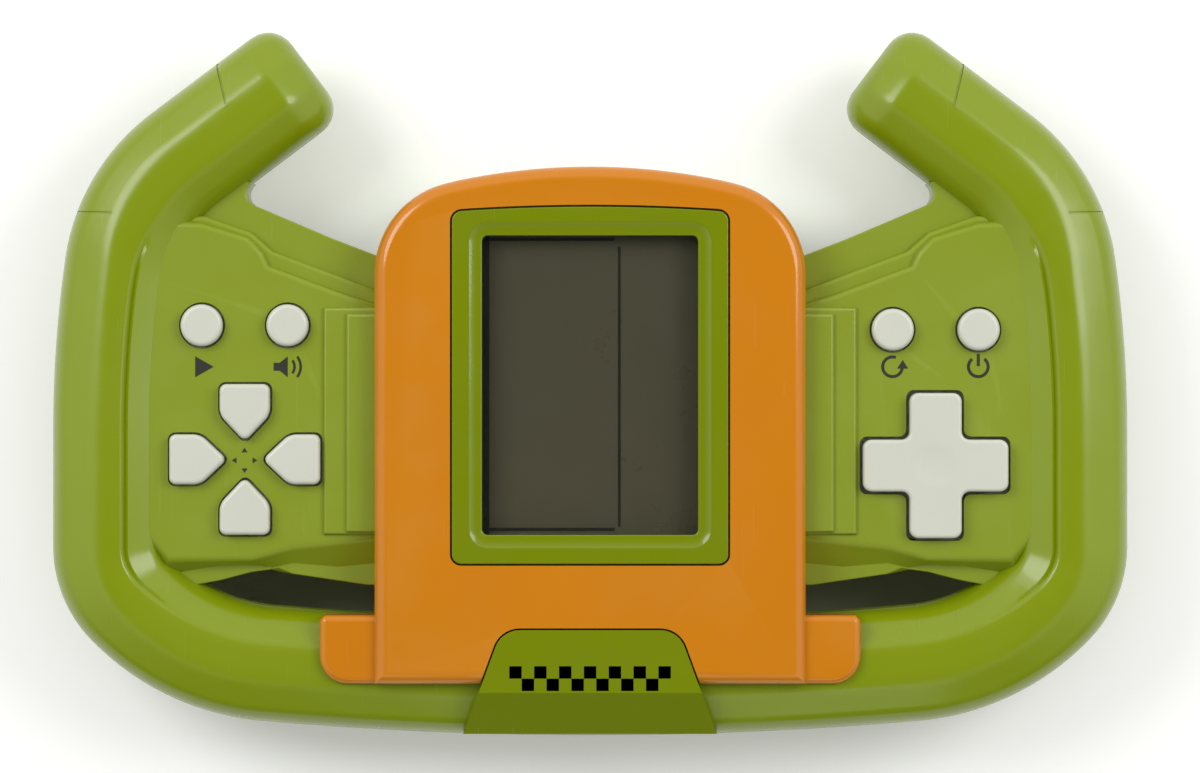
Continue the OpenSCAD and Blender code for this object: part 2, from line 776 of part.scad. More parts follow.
module screen_bezel() {
    r = 1.3;
    z0 = core_top + seat_gap;
    color("yellowgreen")
        difference() {
            translate([0, 0, z0])
                linear_extrude(panel_top - z0)
                    polygon([for (s = [[1, 1], [-1, 1], [-1, -1], [1, -1]])
                        each let (a = s.x * s.y > 0 ? 0 : 1)
                            [for (i = [0:3]) let (t = (s.x * s.y > 0 ? i : 3 - i) * 30)
                                [s.x * (bezel_w / 2 - r + r * cos(t)), s.y * (bezel_h / 2 - r + r * sin(t))]]]);
            window_cut(window_w, window_h, z0 - 1, panel_top + 1);
            hull() {
                window_cut(window_w, window_h, z0 + 0.3, z0 + 0.4);
                window_cut(window_w + 2 * cove, window_h + 2 * cove, panel_top + 0.01, panel_top + 0.02);
            }
        }
}

module name_tab() {
    color("yellowgreen")
        difference() {
            intersection() {
                translate([0, 0, split_z])
                    linear_extrude(panel_top)
                        tab_shape();
                rotate([90, 0, 90])
                    translate([0, 0, -30])
                        linear_extrude(60)
                            polygon([[-30, core_top], [-30, panel_top], [-49.5, panel_top], [-52.3, 27.2],
                                [-55.2, 24.6], [-56.2, 22.6], [-56.2, split_z + 3], [-40, split_z + 3]]);
            }
            panel_seat(seat_gap);
        }
}

module screen_lens() {
    color("lightsteelblue", 0.5)
        window_cut(window_w + 2 * lens_lap, window_h + 2 * lens_lap, lens_z, lens_z + lens_t);
}

module display_glass() {
    color("dimgray")
        union() {
            window_cut(glass_w, glass_h, glass_z, glass_z + glass_t / 2);
            window_cut(glass_w, glass_h - 3, glass_z + glass_t / 2, glass_z + glass_t);
        }
}

module display_connectors() {
    z0 = main_z + main_t + seat_gap;
    color("pink")
        for (s = [-1, 1])
            translate([-glass_w / 2 + 1, s * (glass_h / 2 - 1.6) - 0.9, z0])
                cube([glass_w - 2, 1.8, glass_z - seat_gap - z0]);
}

module main_board() {
    color("darkgreen")
        difference() {
            translate([0, 0, main_z])
                linear_extrude(main_t)
                    polygon([[-29.5, -33.5], [29.5, -33.5], [29.5, 18], [21, 27.5], [-21, 27.5], [-29.5, 18]]);
            both_sides()
                for (p = main_screw_at)
                    boss(p, small_screw_d + 0.3, main_z - 1, main_z + main_t + 1);
        }
}

module game_chip() {
    color("black")
        translate([0, -4, main_z + main_t])
            rotate_extrude()
                polygon(concat([[0, 0]], [for (i = [0:5]) [6.5 * cos(18 * i), 1.2 * sin(18 * i)]]));
}

module board_parts() {
    z0 = main_z + main_t;
    color("tan") {
        for (x = [-12, -8, 8])
            translate([x, 14, z0])
                cube([1.6, 3.2, 0.9]);
        translate([11, -14, z0])
            cube([7, 3, 1.5]);
        translate([-16, -16, z0])
            cube([4, 4, 1.2]);
    }
}

// A key board, with its outer corner kept clear of the rim's wall
module key_board() {
    color("darkgreen")
        difference() {
            translate([0, 0, board_z])
                linear_extrude(board_t)
                    polygon([[40.9, -25], [68, -25], [74, -21], [74, 6], [70.5, 15.8], [40.9, 15.8]]);
            for (p = key_screw_at)
                boss(p, small_screw_d + 0.3, board_z - 1, board_z + board_t + 1);
        }
}

module left_key_board() {
    mirror([1, 0, 0])
        key_board();
}

module right_key_board() {
    key_board();
}

// A rubber mat with a hollow dome under each key
module mat(domes) {
    z0 = mat_z;
    color("gainsboro")
        difference() {
            union() {
                translate([44.8, -24.6, z0])
                    cube([24.6, 39.6, mat_t]);
                for (p = domes)
                    translate([p.x, p.y, z0 + mat_t - tiny])
                        cylinder(d1 = dome_d, d2 = dome_d - 2, h = dome_h + tiny);
            }
            for (p = domes)
                translate([p.x, p.y, z0 - 1])
                    cylinder(d = dome_d - 3, h = dome_h + 0.6);
        }
}

// Middle of a direction key, measured from the pad's centre
key_mid = (key_shoulder + key_end) / 2 - 1;

module left_keypad() {
    mirror([1, 0, 0])
        mat([[inner_button_x, left_button_y], [outer_button_x, left_button_y],
            [pad_x, keys_y + key_mid], [pad_x, keys_y - key_mid],
            [pad_x - key_mid, keys_y], [pad_x + key_mid, keys_y]]);
}

module right_keypad() {
    mat([[inner_button_x, right_button_y], [outer_button_x, right_button_y],
        for (q = [0:90:270]) [pad_x, cross_y] + 8 * way(q)]);
}

// A round button: flange under the platform, crowned face, stem on the dome
module round_button(x, y) {
    r = button_d / 2;
    top = platform_top + button_rise;
    color("whitesmoke")
        translate([x, y, 0])
            rotate_extrude()
                polygon(concat([[0, dome_top + seat_gap], [2.2, dome_top + seat_gap],
                    [2.2, flange_top - flange_t], [r + 0.8, flange_top - flange_t], [r + 0.8, flange_top],
                    [r, flange_top], [r, top - 1]],
                    [for (i = [1:6]) [r * cos(15 * i), top - 1 + sin(15 * i)]]));
}

module start_button() {
    round_button(-outer_button_x, left_button_y);
}

module sound_button() {
    round_button(-inner_button_x, left_button_y);
}

module reset_button() {
    round_button(inner_button_x, right_button_y);
}

module power_button() {
    round_button(outer_button_x, right_button_y);
}

module direction_key(turn) {
    top = platform_top + button_rise + 0.2;
    color("whitesmoke") {
        hull() {
            translate([0, 0, flange_top - tiny])
                linear_extrude(top - 0.7 - flange_top)
                    key_shape(turn);
            translate([0, 0, top - tiny])
                linear_extrude(tiny)
                    key_shape(turn, -0.7);
        }
        translate([0, 0, flange_top - flange_t])
            linear_extrude(flange_t)
                intersection() {
                    key_shape(turn, 0.8);
                    translate([-pad_x, keys_y])
                        rotate(turn)
                            translate([-10, -20])
                                square([20, 20 - key_tip - 0.6]);
                }
        translate([-pad_x, keys_y, dome_top + seat_gap])
            rotate(turn)
                translate([0, -key_mid, 0])
                    cylinder(d = 4.4, h = flange_top - flange_t - dome_top);
    }
}

module up_key() {
    direction_key(180);
}

module down_key() {
    direction_key(0);
}

module left_key() {
    direction_key(270);
}

module right_key() {
    direction_key(90);
}

// The cross pad rocks, so its flange hangs lower than the other keys' flanges
cross_flange_top = flange_top - 0.9;
module cross_pad() {
    top = platform_top + button_rise + 0.4;
    color("whitesmoke") {
        translate([0, 0, cross_flange_top - tiny])
            linear_extrude(top - 0.6 - cross_flange_top + 2 * tiny)
                cross_shape();
        translate([0, 0, top - 0.6])
            linear_extrude(0.6)
                cross_shape(-0.6);
        translate([0, 0, dome_top + seat_gap])
            linear_extrude(cross_flange_top - dome_top)
                cross_shape(0.9);
        translate([pad_x, cross_y, mat_z + mat_t + seat_gap])
            cylinder(d1 = 2, d2 = 4, h = cross_flange_top - mat_z - mat_t - 0.3);
    }
}

// A flat ribbon of wires from the main board down to a key board
module ribbon() {
    t = 0.6;
    top = main_z - t - 0.02;
    low = board_z + board_t;
    x = block_hw - core_inset - wall;
    lines = [[x - 1.6, top], [x - 1.2, top], [x + 0.4, low + 0.8], [37.6, low + 0.8],
        [39.6, low + 0.02], [43.2, low + 0.02]];
    color("lightgray")
        translate([0, 8, 0])
            rotate([90, 0, 0])
                linear_extrude(8)
                    polygon(concat(lines, [for (i = [len(lines) - 1:-1:0]) lines[i] + [0, t]]));
}

module left_ribbon() {
    mirror([1, 0, 0])
        ribbon();
}

module right_ribbon() {
    ribbon();
}

module speaker() {
    r = speaker_d / 2;
    z0 = back_wall + seat_gap;
    color("silver")
        translate([0, speaker_y, z0])
            difference() {
                union() {
                    cylinder(r = r, h = 1.6);
                    cylinder(r1 = r - 1, r2 = r * 0.55, h = 3);
                    cylinder(r = r * 0.55, h = speaker_t);
                }
                translate([0, 0, -1])
                    cylinder(r1 = r, r2 = r * 0.3, h = 2.4);
            }
}

// A thin tube along a list of points
function ring(points, i, r, n) =
    let (a = points[max(i - 1, 0)], b = points[min(i + 1, len(points) - 1)],
        t = (b - a) / norm(b - a), u = cross(t, abs(t.y) < 0.9 ? [0, 1, 0] : [1, 0, 0]), e = u / norm(u), f = cross(t, e))
    [for (j = [0:n - 1]) points[i] + r * (e * cos(360 * j / n) + f * sin(360 * j / n))];

module tube(points, r, n = 8) {
    m = len(points);
    rings = [for (i = [0:m - 1]) each ring(points, i, r, n)];
    sides = [for (i = [0:m - 2], j = [0:n - 1])
        [i * n + j, i * n + (j + 1) % n, (i + 1) * n + (j + 1) % n, (i + 1) * n + j]];
    polyhedron(rings, concat(sides, [[for (j = [n - 1:-1:0]) j]], [[for (j = [0:n - 1]) (m - 1) * n + j]]));
}

module speaker_wires() {
    z0 = back_wall + speaker_t + 0.1;
    color("firebrick")
        for (s = [-1, 1])
            tube([[s * 4, speaker_y, z0 + 0.5], [s * 6, speaker_y + 1, z0 + 1.5], [s * 9, speaker_y + 3, z0 + 4],
                [s * 11, speaker_y + 6, main_z - 3], [s * 11.5, speaker_y + 8, main_z - 0.4]], 0.5);
}

module battery_door() {
    ribs = 5;
    color("darkolivegreen")
        difference() {
            union() {
                translate([-door_hw, back_y0, door_z0])
                    cube([2 * door_hw, door_y1 - back_y0, door_t]);
                translate([-door_hw - tongue, back_y0, door_z1 - 0.8])
                    cube([2 * (door_hw + tongue), door_y1 - back_y0 + 0.8, 0.8]);
            }
            for (i = [0:ribs - 1])
                translate([-9, back_y0 + 4 + 1.6 * i, door_z0 - 1])
                    cube([18, 0.8, 1.5]);
        }
}

module battery_cells() {
    for (s = [-1, 1])
        translate([0, box_y + s * cell_pitch / 2, cell_z])
            rotate([0, s * 90, 0])
                translate([0, 0, -cell_len / 2]) {
                    color("dimgray")
                        cylinder(d = cell_d, h = cell_len);
                    color("silver")
                        cylinder(d = 5.4, h = cell_len + 1);
                }
}

// A conical spring at the flat end of each cell
module battery_springs() {
    turns = 2.5;
    steps = 14;
    len = box_hw - cell_len / 2 - 1;
    color("silver")
        for (s = [-1, 1])
            translate([-s * (cell_len / 2 + 0.35), box_y + s * cell_pitch / 2, cell_z])
                rotate([0, -s * 90, 0])
                    tube([for (i = [0:turns * steps]) let (a = 360 * i / steps, f = i / (turns * steps))
                        [(2.4 + 2 * f) * cos(a), (2.4 + 2 * f) * sin(a), f * (len - 0.7)]], 0.3, 6);
}

// Contact plates at both ends of the box, with tags up to the main board
module battery_plates() {
    x = box_hw - 0.55;
    color("gold")
        for (s = [-1, 1])
            mirror([s < 0 ? 1 : 0, 0, 0]) {
                translate([x, box_y - cell_pitch / 2 - 5, cell_z - 5])
                    cube([0.4, cell_pitch + 10, 10]);
                translate([x, box_y1 - 5.5, cell_z + 4])
                    cube([0.4, 2, main_z - cell_z - 4 - seat_gap]);
            }
}

module screw(p, d, head, z0, head_h, len) {
    color("silver")
        difference() {
            union() {
                boss(p, head, z0 - head_h, z0);
                boss(p, d, z0 - tiny, z0 + len);
            }
            translate([p.x - head * 0.3, p.y - 0.3, z0 - head_h - 1])
                cube([head * 0.6, 0.6, 1.6]);
            translate([p.x - 0.3, p.y - head * 0.3, z0 - head_h - 1])
                cube([0.6, head * 0.6, 1.6]);
        }
}

module case_screws() {
    for (p = case_screw_at)
        screw(p, screw_d, screw_head_d, split_z - 4 - seat_gap, 1.5, 8.4);
}

module board_screws() {
    for (s = [-1, 1]) {
        for (p = key_screw_at)
            screw([s * p.x, p.y], small_screw_d, small_head_d, board_z - seat_gap, 1, 4.6);
        for (p = main_screw_at)
            screw([s * p.x, p.y], small_screw_d, small_head_d, main_z - seat_gap, 1, 4.6);
    }
}

front_shell();
rear_shell();
centre_panel();
screen_bezel();
name_tab();
screen_lens();
display_glass();
display_connectors();
main_board();
game_chip();
board_parts();
left_key_board();
right_key_board();
left_keypad();
right_keypad();
start_button();
sound_button();
reset_button();
power_button();
up_key();
down_key();
left_key();
right_key();
cross_pad();
left_ribbon();
right_ribbon();
speaker();
speaker_wires();
battery_door();
battery_cells();
battery_springs();
battery_plates();
case_screws();
board_screws();
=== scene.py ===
import bmesh
import bpy
import functools
import math
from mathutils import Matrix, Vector


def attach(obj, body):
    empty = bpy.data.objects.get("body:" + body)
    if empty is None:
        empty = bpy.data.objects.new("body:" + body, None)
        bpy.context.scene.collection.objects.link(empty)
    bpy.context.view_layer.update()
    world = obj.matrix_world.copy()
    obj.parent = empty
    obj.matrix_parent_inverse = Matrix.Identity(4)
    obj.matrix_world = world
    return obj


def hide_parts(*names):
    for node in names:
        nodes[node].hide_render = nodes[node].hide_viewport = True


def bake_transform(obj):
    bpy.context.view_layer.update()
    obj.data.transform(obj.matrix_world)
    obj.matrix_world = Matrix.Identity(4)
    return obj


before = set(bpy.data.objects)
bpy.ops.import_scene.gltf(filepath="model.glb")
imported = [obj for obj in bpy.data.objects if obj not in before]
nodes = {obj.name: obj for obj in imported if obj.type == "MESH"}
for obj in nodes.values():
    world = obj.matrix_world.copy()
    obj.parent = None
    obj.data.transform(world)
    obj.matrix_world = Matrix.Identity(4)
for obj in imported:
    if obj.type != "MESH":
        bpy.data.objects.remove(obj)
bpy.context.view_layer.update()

mm = 0.001


def say(stage):
    print("scene:", stage)


def linear(hexColour):  # an sRGB hex colour as the linear one that the shaders read
    parts = [int(hexColour[i:i + 2], 16) / 255 for i in (0, 2, 4)]
    return [p / 12.92 if p <= 0.04045 else ((p + 0.055) / 1.055) ** 2.4 for p in parts] + [1]


# ---- stage: camera, floor, sky and lamps
stage = {
    "centre": (1.6, -0.2), "height": 800, "photoWidth": 196.3, "photoPlane": 15,
    "floorColour": "F4F4F2", "skyLevel": 0.74, "overhead": 0.05, "nearSide": 0.1, "nearShade": 0.2,
    # the cards under the openings carry painted shade of the table seen through them, partly its darker tone
    "shadeCards": [(-49.5, -33.8), (49.5, -33.8)], "shadeCardSize": (29, 8.5), "shadeCardColour": "A3A58B",
    "lamps": [
        {"at": (-420, 260, 520), "size": 380, "watts": 1.9},
        {"at": (430, 180, 480), "size": 340, "watts": 1.5},
        {"at": (60, -520, 420), "size": 300, "watts": 0.2},
    ],
}


def addNode(tree, kind, settings=None, links=None):  # a node, its settings, and what feeds its sockets
    made = tree.nodes.new("ShaderNode" + kind)
    for name, value in (settings or {}).items():
        if name in made.inputs:
            made.inputs[name].default_value = value
        elif name.isdigit():
            made.inputs[int(name)].default_value = value
        else:
            setattr(made, name, value)
    for name, source in (links or {}).items():
        socket = made.inputs[int(name)] if name.isdigit() else made.inputs[name]
        tree.links.new(getattr(source, "outputs", [source])[0], socket)
    return made


def emptied(owner):  # clears the nodes of a material or world; returns what adds a node to it
    owner.use_nodes = True
    owner.node_tree.nodes.clear()
    return functools.partial(addNode, owner.node_tree)


def emptyMaterial(name):  # a material, what adds a node to it, and the object coordinates
    made = bpy.data.materials.new(name)
    add = emptied(made)
    return made, add, add("TexCoord").outputs["Object"]


def makeStage():
    scene = bpy.context.scene
    scene.view_settings.view_transform = "Standard"
    distance = stage["height"] - stage["photoPlane"]
    bpy.ops.object.select_all(action="DESELECT")
    bpy.ops.object.camera_add(location=(stage["centre"][0] * mm, stage["centre"][1] * mm, stage["height"] * mm))
    camera = bpy.context.object
    camera.data.sensor_width = 36
    camera.data.lens = 36 * distance / stage["photoWidth"]
    camera.data.clip_start = 0.01
    scene.camera = camera

    for lamp in stage["lamps"]:
        place = Vector(lamp["at"]) * mm
        bpy.ops.object.light_add(type="AREA", location=place, rotation=(-place).to_track_quat("-Z", "Y").to_euler())
        light = bpy.context.object.data
        light.shape = "DISK"
        light.size = lamp["size"] * mm
        light.energy = lamp["watts"]

    # the floor is lit as a real one, and the camera sees it as white where nothing shades it
    bpy.ops.mesh.primitive_plane_add(size=6, location=(0, 0, -0.0002))
    floor = bpy.context.object
    floor.name = "floor"
    paper, add, place = emptyMaterial("matt white paper")
    plain = add("BsdfDiffuse", {"Color": linear(stage["floorColour"])})
    glow = add("Emission", {"Strength": 0.16})
    ray = add("LightPath")
    seen = add("Math", {"operation": "MAXIMUM"}, {"0": ray.outputs["Is Camera Ray"],
            "1": ray.outputs["Is Glossy Ray"]})
    shown = add("MixShader", None, {"0": seen, "2": glow})
    both = add("AddShader", None, {"0": plain, "1": shown})
    add("OutputMaterial", None, {"Surface": both})
    floor.data.materials.append(paper)

    # under each of the two openings lies a pale olive card, seen only through them: painted shade of the table there,
    # partly the table's own darker tone
    cloth, add, place = emptyMaterial("dark table cloth")
    weave = add("TexNoise", {"Scale": 900, "Detail": 2}, {"Vector": place})
    dark = add("BsdfDiffuse", {"Color": linear(stage["shadeCardColour"])},
                   {"Normal": add("Bump", {"Distance": 0.0002}, {"Height": weave})})
    add("OutputMaterial", None, {"Surface": dark})
    for x, y in stage["shadeCards"]:
        bpy.ops.mesh.primitive_plane_add(size=1, location=(x * mm, y * mm, 0.0001))
        shadeCard = bpy.context.object
        shadeCard.name = "table_cloth"
        shadeCard.scale = (stage["shadeCardSize"][0] * mm, stage["shadeCardSize"][1] * mm, 1)
        shadeCard.data.materials.append(cloth)

    # a plain bright sky: reflections see it darker overhead and on the near side, diffuse light only on the near side
    world = bpy.data.worlds.new("soft room")
    scene.world = world
    add = emptied(world)
    split = add("SeparateXYZ", None, {"0": add("TexCoord").outputs["Generated"]})
    ray = add("LightPath")
    ramp = add("MapRange", {"From Min": 0.72, "From Max": 0.965, "To Min": 1, "To Max": stage["overhead"],
                            "interpolation_type": "SMOOTHSTEP"}, {"Value": split.outputs["Z"]})
    near = add("MapRange", {"From Min": -0.8, "From Max": -0.3, "To Min": stage["nearSide"], "To Max": 1,
                            "interpolation_type": "SMOOTHSTEP"}, {"Value": split.outputs["Y"]})
    shade = add("MapRange", {"From Min": -1, "From Max": 0.2, "To Min": stage["skyLevel"] * stage["nearShade"],
                             "To Max": stage["skyLevel"]}, {"Value": split.outputs["Y"]})
    level = add("Math", {"operation": "MULTIPLY"}, {"0": ramp, "1": near})
    glossy = add("Math", {"operation": "MULTIPLY"}, {"0": level, "1": ray.outputs["Is Glossy Ray"]})
    diffuse = add("Math", {"operation": "MULTIPLY"}, {"0": shade, "1": ray.outputs["Is Diffuse Ray"]})
    for other in (ray.outputs["Is Camera Ray"], ray.outputs["Is Transmission Ray"], diffuse):
        glossy = add("Math", {"operation": "MAXIMUM"}, {"0": glossy, "1": other})
    sky = add("Background", {"Color": (1, 1, 1, 1)}, {"Strength": glossy})
    add("OutputWorld", None, {"Surface": sky})


def deselect():
    if bpy.context.mode != "OBJECT":
        bpy.ops.object.mode_set(mode="OBJECT")
    bpy.ops.object.select_all(action="DESELECT")


def use(piece):  # makes one piece the active one, alone selected
    deselect()
    piece.select_set(True)
    bpy.context.view_layer.objects.active = piece


def named(name):  # names the primitive that was just added
    piece = bpy.context.object
    piece.name = name
    piece.data.name = name
    return piece


def editing(piece, everything=False):
    use(piece)
    bpy.ops.object.mode_set(mode="EDIT")
    bpy.ops.mesh.select_all(action="SELECT" if everything else "DESELECT")


def done():
    bpy.ops.object.mode_set(mode="OBJECT")


def pick(kind, test):  # in edit mode, selects the verts, edges or faces whose middle and normal pass a test
    mesh = bmesh.from_edit_mesh(bpy.context.object.data)
    bpy.ops.mesh.select_mode(type={"verts": "VERT", "edges": "EDGE", "faces": "FACE"}[kind])
    bpy.ops.mesh.select_all(action="DESELECT")
    for item in getattr(mesh, kind):
        if kind == "verts":
            middle, normal = item.co, item.normal
        elif kind == "edges":
            middle = (item.verts[0].co + item.verts[1].co) / 2
            normal = sum((f.normal for f in item.link_faces), Vector()).normalized()
        else:
            middle, normal = item.calc_center_median(), item.normal
        item.select_set(bool(test(middle / mm, normal)))
    bmesh.update_edit_mesh(bpy.context.object.data)


def raiseUp(height):
    bpy.ops.mesh.extrude_region_move(TRANSFORM_OT_translate={"value": (0, 0, height * mm)})


def soften(width, steps=3):
    bpy.ops.mesh.bevel(offset=width * mm, segments=steps, affect="EDGES", clamp_overlap=True)


def softenEdges(piece, test, width, steps=3):  # bevels the edges of a piece that pass a test
    editing(piece)
    pick("edges", test)
    soften(width, steps)
    done()


def facesOut(piece):
    editing(piece, True)
    bpy.ops.mesh.remove_doubles(threshold=0.004 * mm)
    bpy.ops.mesh.normals_make_consistent(inside=False)
    done()


def apply(piece, kind, settings):  # adds a modifier and applies it
    use(piece)
    made = piece.modifiers.new(kind.lower(), kind)
    for name, value in settings.items():
        setattr(made, name, value)
    bpy.ops.object.modifier_apply(modifier=made.name)


def bevelCorners(piece, width, steps, angle):  # bevels every edge sharper than an angle in degrees
    apply(piece, "BEVEL", {"width": width * mm, "segments": steps, "limit_method": "ANGLE",
                           "angle_limit": math.radians(angle)})


def finish(piece, materials, body="case", node=None, angle=35):
    use(piece)
    bpy.ops.object.transform_apply(location=True, rotation=True, scale=True)
    if angle:
        bpy.ops.object.shade_smooth_by_angle(angle=math.radians(angle))
        apply(piece, "WEIGHTED_NORMAL", {"keep_sharp": True})
    if materials:
        piece.data.materials.clear()
        for material in materials:
            piece.data.materials.append(material)
    if node:
        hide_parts(node)
    if body:
        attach(piece, body)
    return piece


def tiered(name, rings):  # a flat primitive bent to the first outline, then pulled up through the others, in mm
    outline, level = rings[0]
    deselect()
    bpy.ops.mesh.primitive_circle_add(vertices=len(outline), radius=1, fill_type="NGON")
    piece = named(name)
    for corner, place in zip(piece.data.vertices, outline):
        corner.co = (place[0] * mm, place[1] * mm, level * mm)
    for following, height in rings[1:]:
        editing(piece)
        pick("faces", lambda at, n: abs(at.z - level) < 0.001)
        raiseUp(1000)
        done()
        for corner in piece.data.vertices:
            if corner.co.z > 500 * mm:
                nearest = min(range(len(outline)), key=lambda i: (Vector(outline[i]) * mm - corner.co.xy).length)
                corner.co = (following[nearest][0] * mm, following[nearest][1] * mm, height * mm)
        outline, level = following, height
    facesOut(piece)
    return piece


def slab(name, outline, low, high):
    return tiered(name, [(outline, low), (outline, high)])


def rods(places, size, low, high, sides=40, name="rods"):  # upright cylinders in one mesh
    made = []
    for x, y in places:
        deselect()
        bpy.ops.mesh.primitive_cylinder_add(vertices=sides, radius=size / 2 * mm, depth=(high - low) * mm,
                                            location=(x * mm, y * mm, (low + high) / 2 * mm))
        made.append(named(name))
    piece = joined(made, name)
    use(piece)
    bpy.ops.object.transform_apply(location=True, rotation=True, scale=True)
    return piece


def joined(pieces, name):
    use(pieces[0])
    for piece in pieces:
        piece.select_set(True)
    bpy.ops.object.join()
    return named(name)


def cut(piece, cutter, operation="DIFFERENCE"):
    use(piece)
    made = piece.modifiers.new("cut", "BOOLEAN")
    made.operation = operation
    made.object = cutter
    made.solver = "EXACT"
    bpy.ops.object.modifier_apply(modifier=made.name)
    bpy.data.objects.remove(cutter)


def mirrored(piece, name):  # the same piece on the other side of the case, with its own mesh
    use(piece)
    bpy.ops.object.duplicate()
    twin = named(name)
    bpy.ops.transform.mirror(constraint_axis=(True, False, False), center_override=(0, 0, 0))
    bpy.ops.object.transform_apply(location=True, rotation=True, scale=True)
    facesOut(twin)
    return twin


def flip(points):
    return [(-p[0], p[1]) for p in reversed(points)]


def arc(centre, radius, start, end, steps):
    return [(centre[0] + radius * math.cos(math.radians(start + (end - start) * i / steps)),
             centre[1] + radius * math.sin(math.radians(start + (end - start) * i / steps))) for i in range(steps + 1)]


def disc(x, y, size, sides=24):
    return arc((x, y), size / 2, 0, 360, sides)[:sides]


def rectangle(x0, y0, x1, y1):
    return [(x0, y0), (x1, y0), (x1, y1), (x0, y1)]


def rounded(x0, y0, x1, y1, r, steps=5):
    return (arc((x1 - r, y0 + r), r, -90, 0, steps) + arc((x1 - r, y1 - r), r, 0, 90, steps)
            + arc((x0 + r, y1 - r), r, 90, 180, steps) + arc((x0 + r, y0 + r), r, 180, 270, steps))


def band(centre, radius, width, start, end, steps=24):  # an outline of part of a ring
    return arc(centre, radius + width / 2, start, end, steps) + arc(centre, radius - width / 2, end, start, steps)


def inset(points, depth):  # a counter-clockwise outline moved inwards by a depth in mm, corner by corner
    count = len(points)
    result = []
    for i in range(count):
        a, b, c = (Vector(points[(i + k) % count]) for k in (-1, 0, 1))
        before, behind = (b - a).normalized(), (c - b).normalized()
        left = Vector((-before.y, before.x)) + Vector((-behind.y, behind.x))
        result.append(tuple(b + left * depth * 2 / left.length_squared))
    return result


# ---- the outlines that several pieces share, in mm
block = {"halfWidth": 34.8, "top": 35.3, "radius": 15, "roundY": 18, "slope": 13, "low": -48.2, "front": 28,
        "core": 25.8}


def blockOutline(low, depth=0):
    width, radius, slope = block["halfWidth"], block["radius"], block["slope"]
    right = [(width, low)] + arc((width - radius, block["roundY"]), radius, 0, 90 - slope, 14)
    archRadius = (width - radius + radius * math.sin(math.radians(slope))) / math.sin(math.radians(slope))
    arch = arc((0, block["top"] - archRadius), archRadius, 90 - slope, 90 + slope, 24)
    return inset(right + arch[1:-1] + flip(right), depth)


wing = {
    "front": 19.5, "platformTop": 22.35,
    "outline": [(29, -32.5), (36.2, -32.5), (48.4, -30.7), (50.7, -29.8), (55.1, -30.4), (60, -31.7), (65.3, -32.7),
                (70.5, -36.4), (76.2, -29), (77.6, -15), (77.6, 5), (75.5, 18), (72, 26), (65, 33.6), (57, 33.4)]
    + arc((53.79, 31.30), 2.2, 52.8, -66.9, 8) + [(45, 25.2), (41.7, 23.8), (35.2, 21.3), (29, 18.8)],
    "room": [(31, -30.5), (36.2, -30.5), (48, -28.7), (50.7, -27.8), (55.3, -28.4), (60.3, -29.7), (65.8, -30.7),
    (70.3, -33.2),
             (74.3, -28.4), (75.6, -14.9), (75.6, 4.9), (73.6, 17.4), (70.3, 25.1), (64.2, 31.4), (58.5, 31.4),
             (57.9, 30),
             (56.8, 28.6), (55.4, 27.6), (46, 23.5), (42.2, 21.9), (36, 19.5), (31, 17.6)],
    "platform": [(33.5, -24.6), (48.4, -26.4), (54.8, -28.3), (68.5, -28.3), (73.6, -22), (73.9, -8), (73.6, 10),
    (72.9, 18),
                 (71.4, 23.9), (67.1, 26.3), (63, 26.1), (55.6, 23.8), (53.3, 21.4), (52.3, 19.2), (40.1, 14.6),
                 (33.5, 12.5)],
    "foot": [(33.5, -32.2), (48.4, -30.9), (52.8, -29.9), (68.5, -32.6), (75.6, -23), (75.9, -8), (75.6, 10),
    (74.6, 18.6),
             (72.6, 25.3), (67.4, 28.1), (62.6, 27.9), (54.5, 25.2), (51.9, 22.2), (51.1, 20.4), (39.6, 16.2),
             (33.5, 14.2)],
}


# ---- wheel rim: a grid bent along the rim's path, its section changing from the open rim to the hand grip
rim = {
    "width": 19, "split": 15, "wall": 2, "low": 57.15, "bottom": (616, 5), "slant": (44, 41), "corner": 22,
    "sideLength": 19, "side": (200, 8), "shoulder": (36, 45), "horn": 25.2, "tipRadius": 4.6,
    # distance from the outer edge, and height over the joint, in mm
    "open": [(0.3, 0), (0, 0.35), (0.02, 1.7), (0.2, 3.3), (0.7, 4.9), (1.45, 6.2), (2.2, 6.95), (3, 7.45),
    (5.6, 8.7),
             (6.3, 9.04), (7.1, 9.28), (8.2, 9.38), (9.5, 9.4), (11.6, 9.38), (12.5, 9.28), (13, 9.14), (13.4, 8.98),
             (14, 8.72), (16.1, 7.5), (16.8, 6.95), (17.55, 6.2), (18.3, 4.9), (18.8, 3.3), (18.98, 1.7), (19, 0.35),
             (18.7, 0)],
    "grip": [(0.3, 0), (0, 0.35), (0.02, 1.7), (0.2, 3.3), (0.7, 4.9), (1.45, 6.2), (2.2, 6.95), (3, 7.42),
    (6.4, 8.85),
             (7.4, 9.2), (8.1, 9.36), (8.6, 9.41), (9.1, 9.42), (9.7, 9.4), (11.5, 9.02), (11.9, 8.88), (12.4, 8.2),
             (12.9, 8.72), (15.9, 7.5), (16.8, 6.95), (17.55, 6.2), (18.3, 4.9), (18.8, 3.3), (18.98, 1.7),
             (19, 0.35), (18.7, 0)],
}


def ease(value, low, high):
    t = min(max((value - low) / (high - low), 0), 1)
    return t * t * (3 - 2 * t)


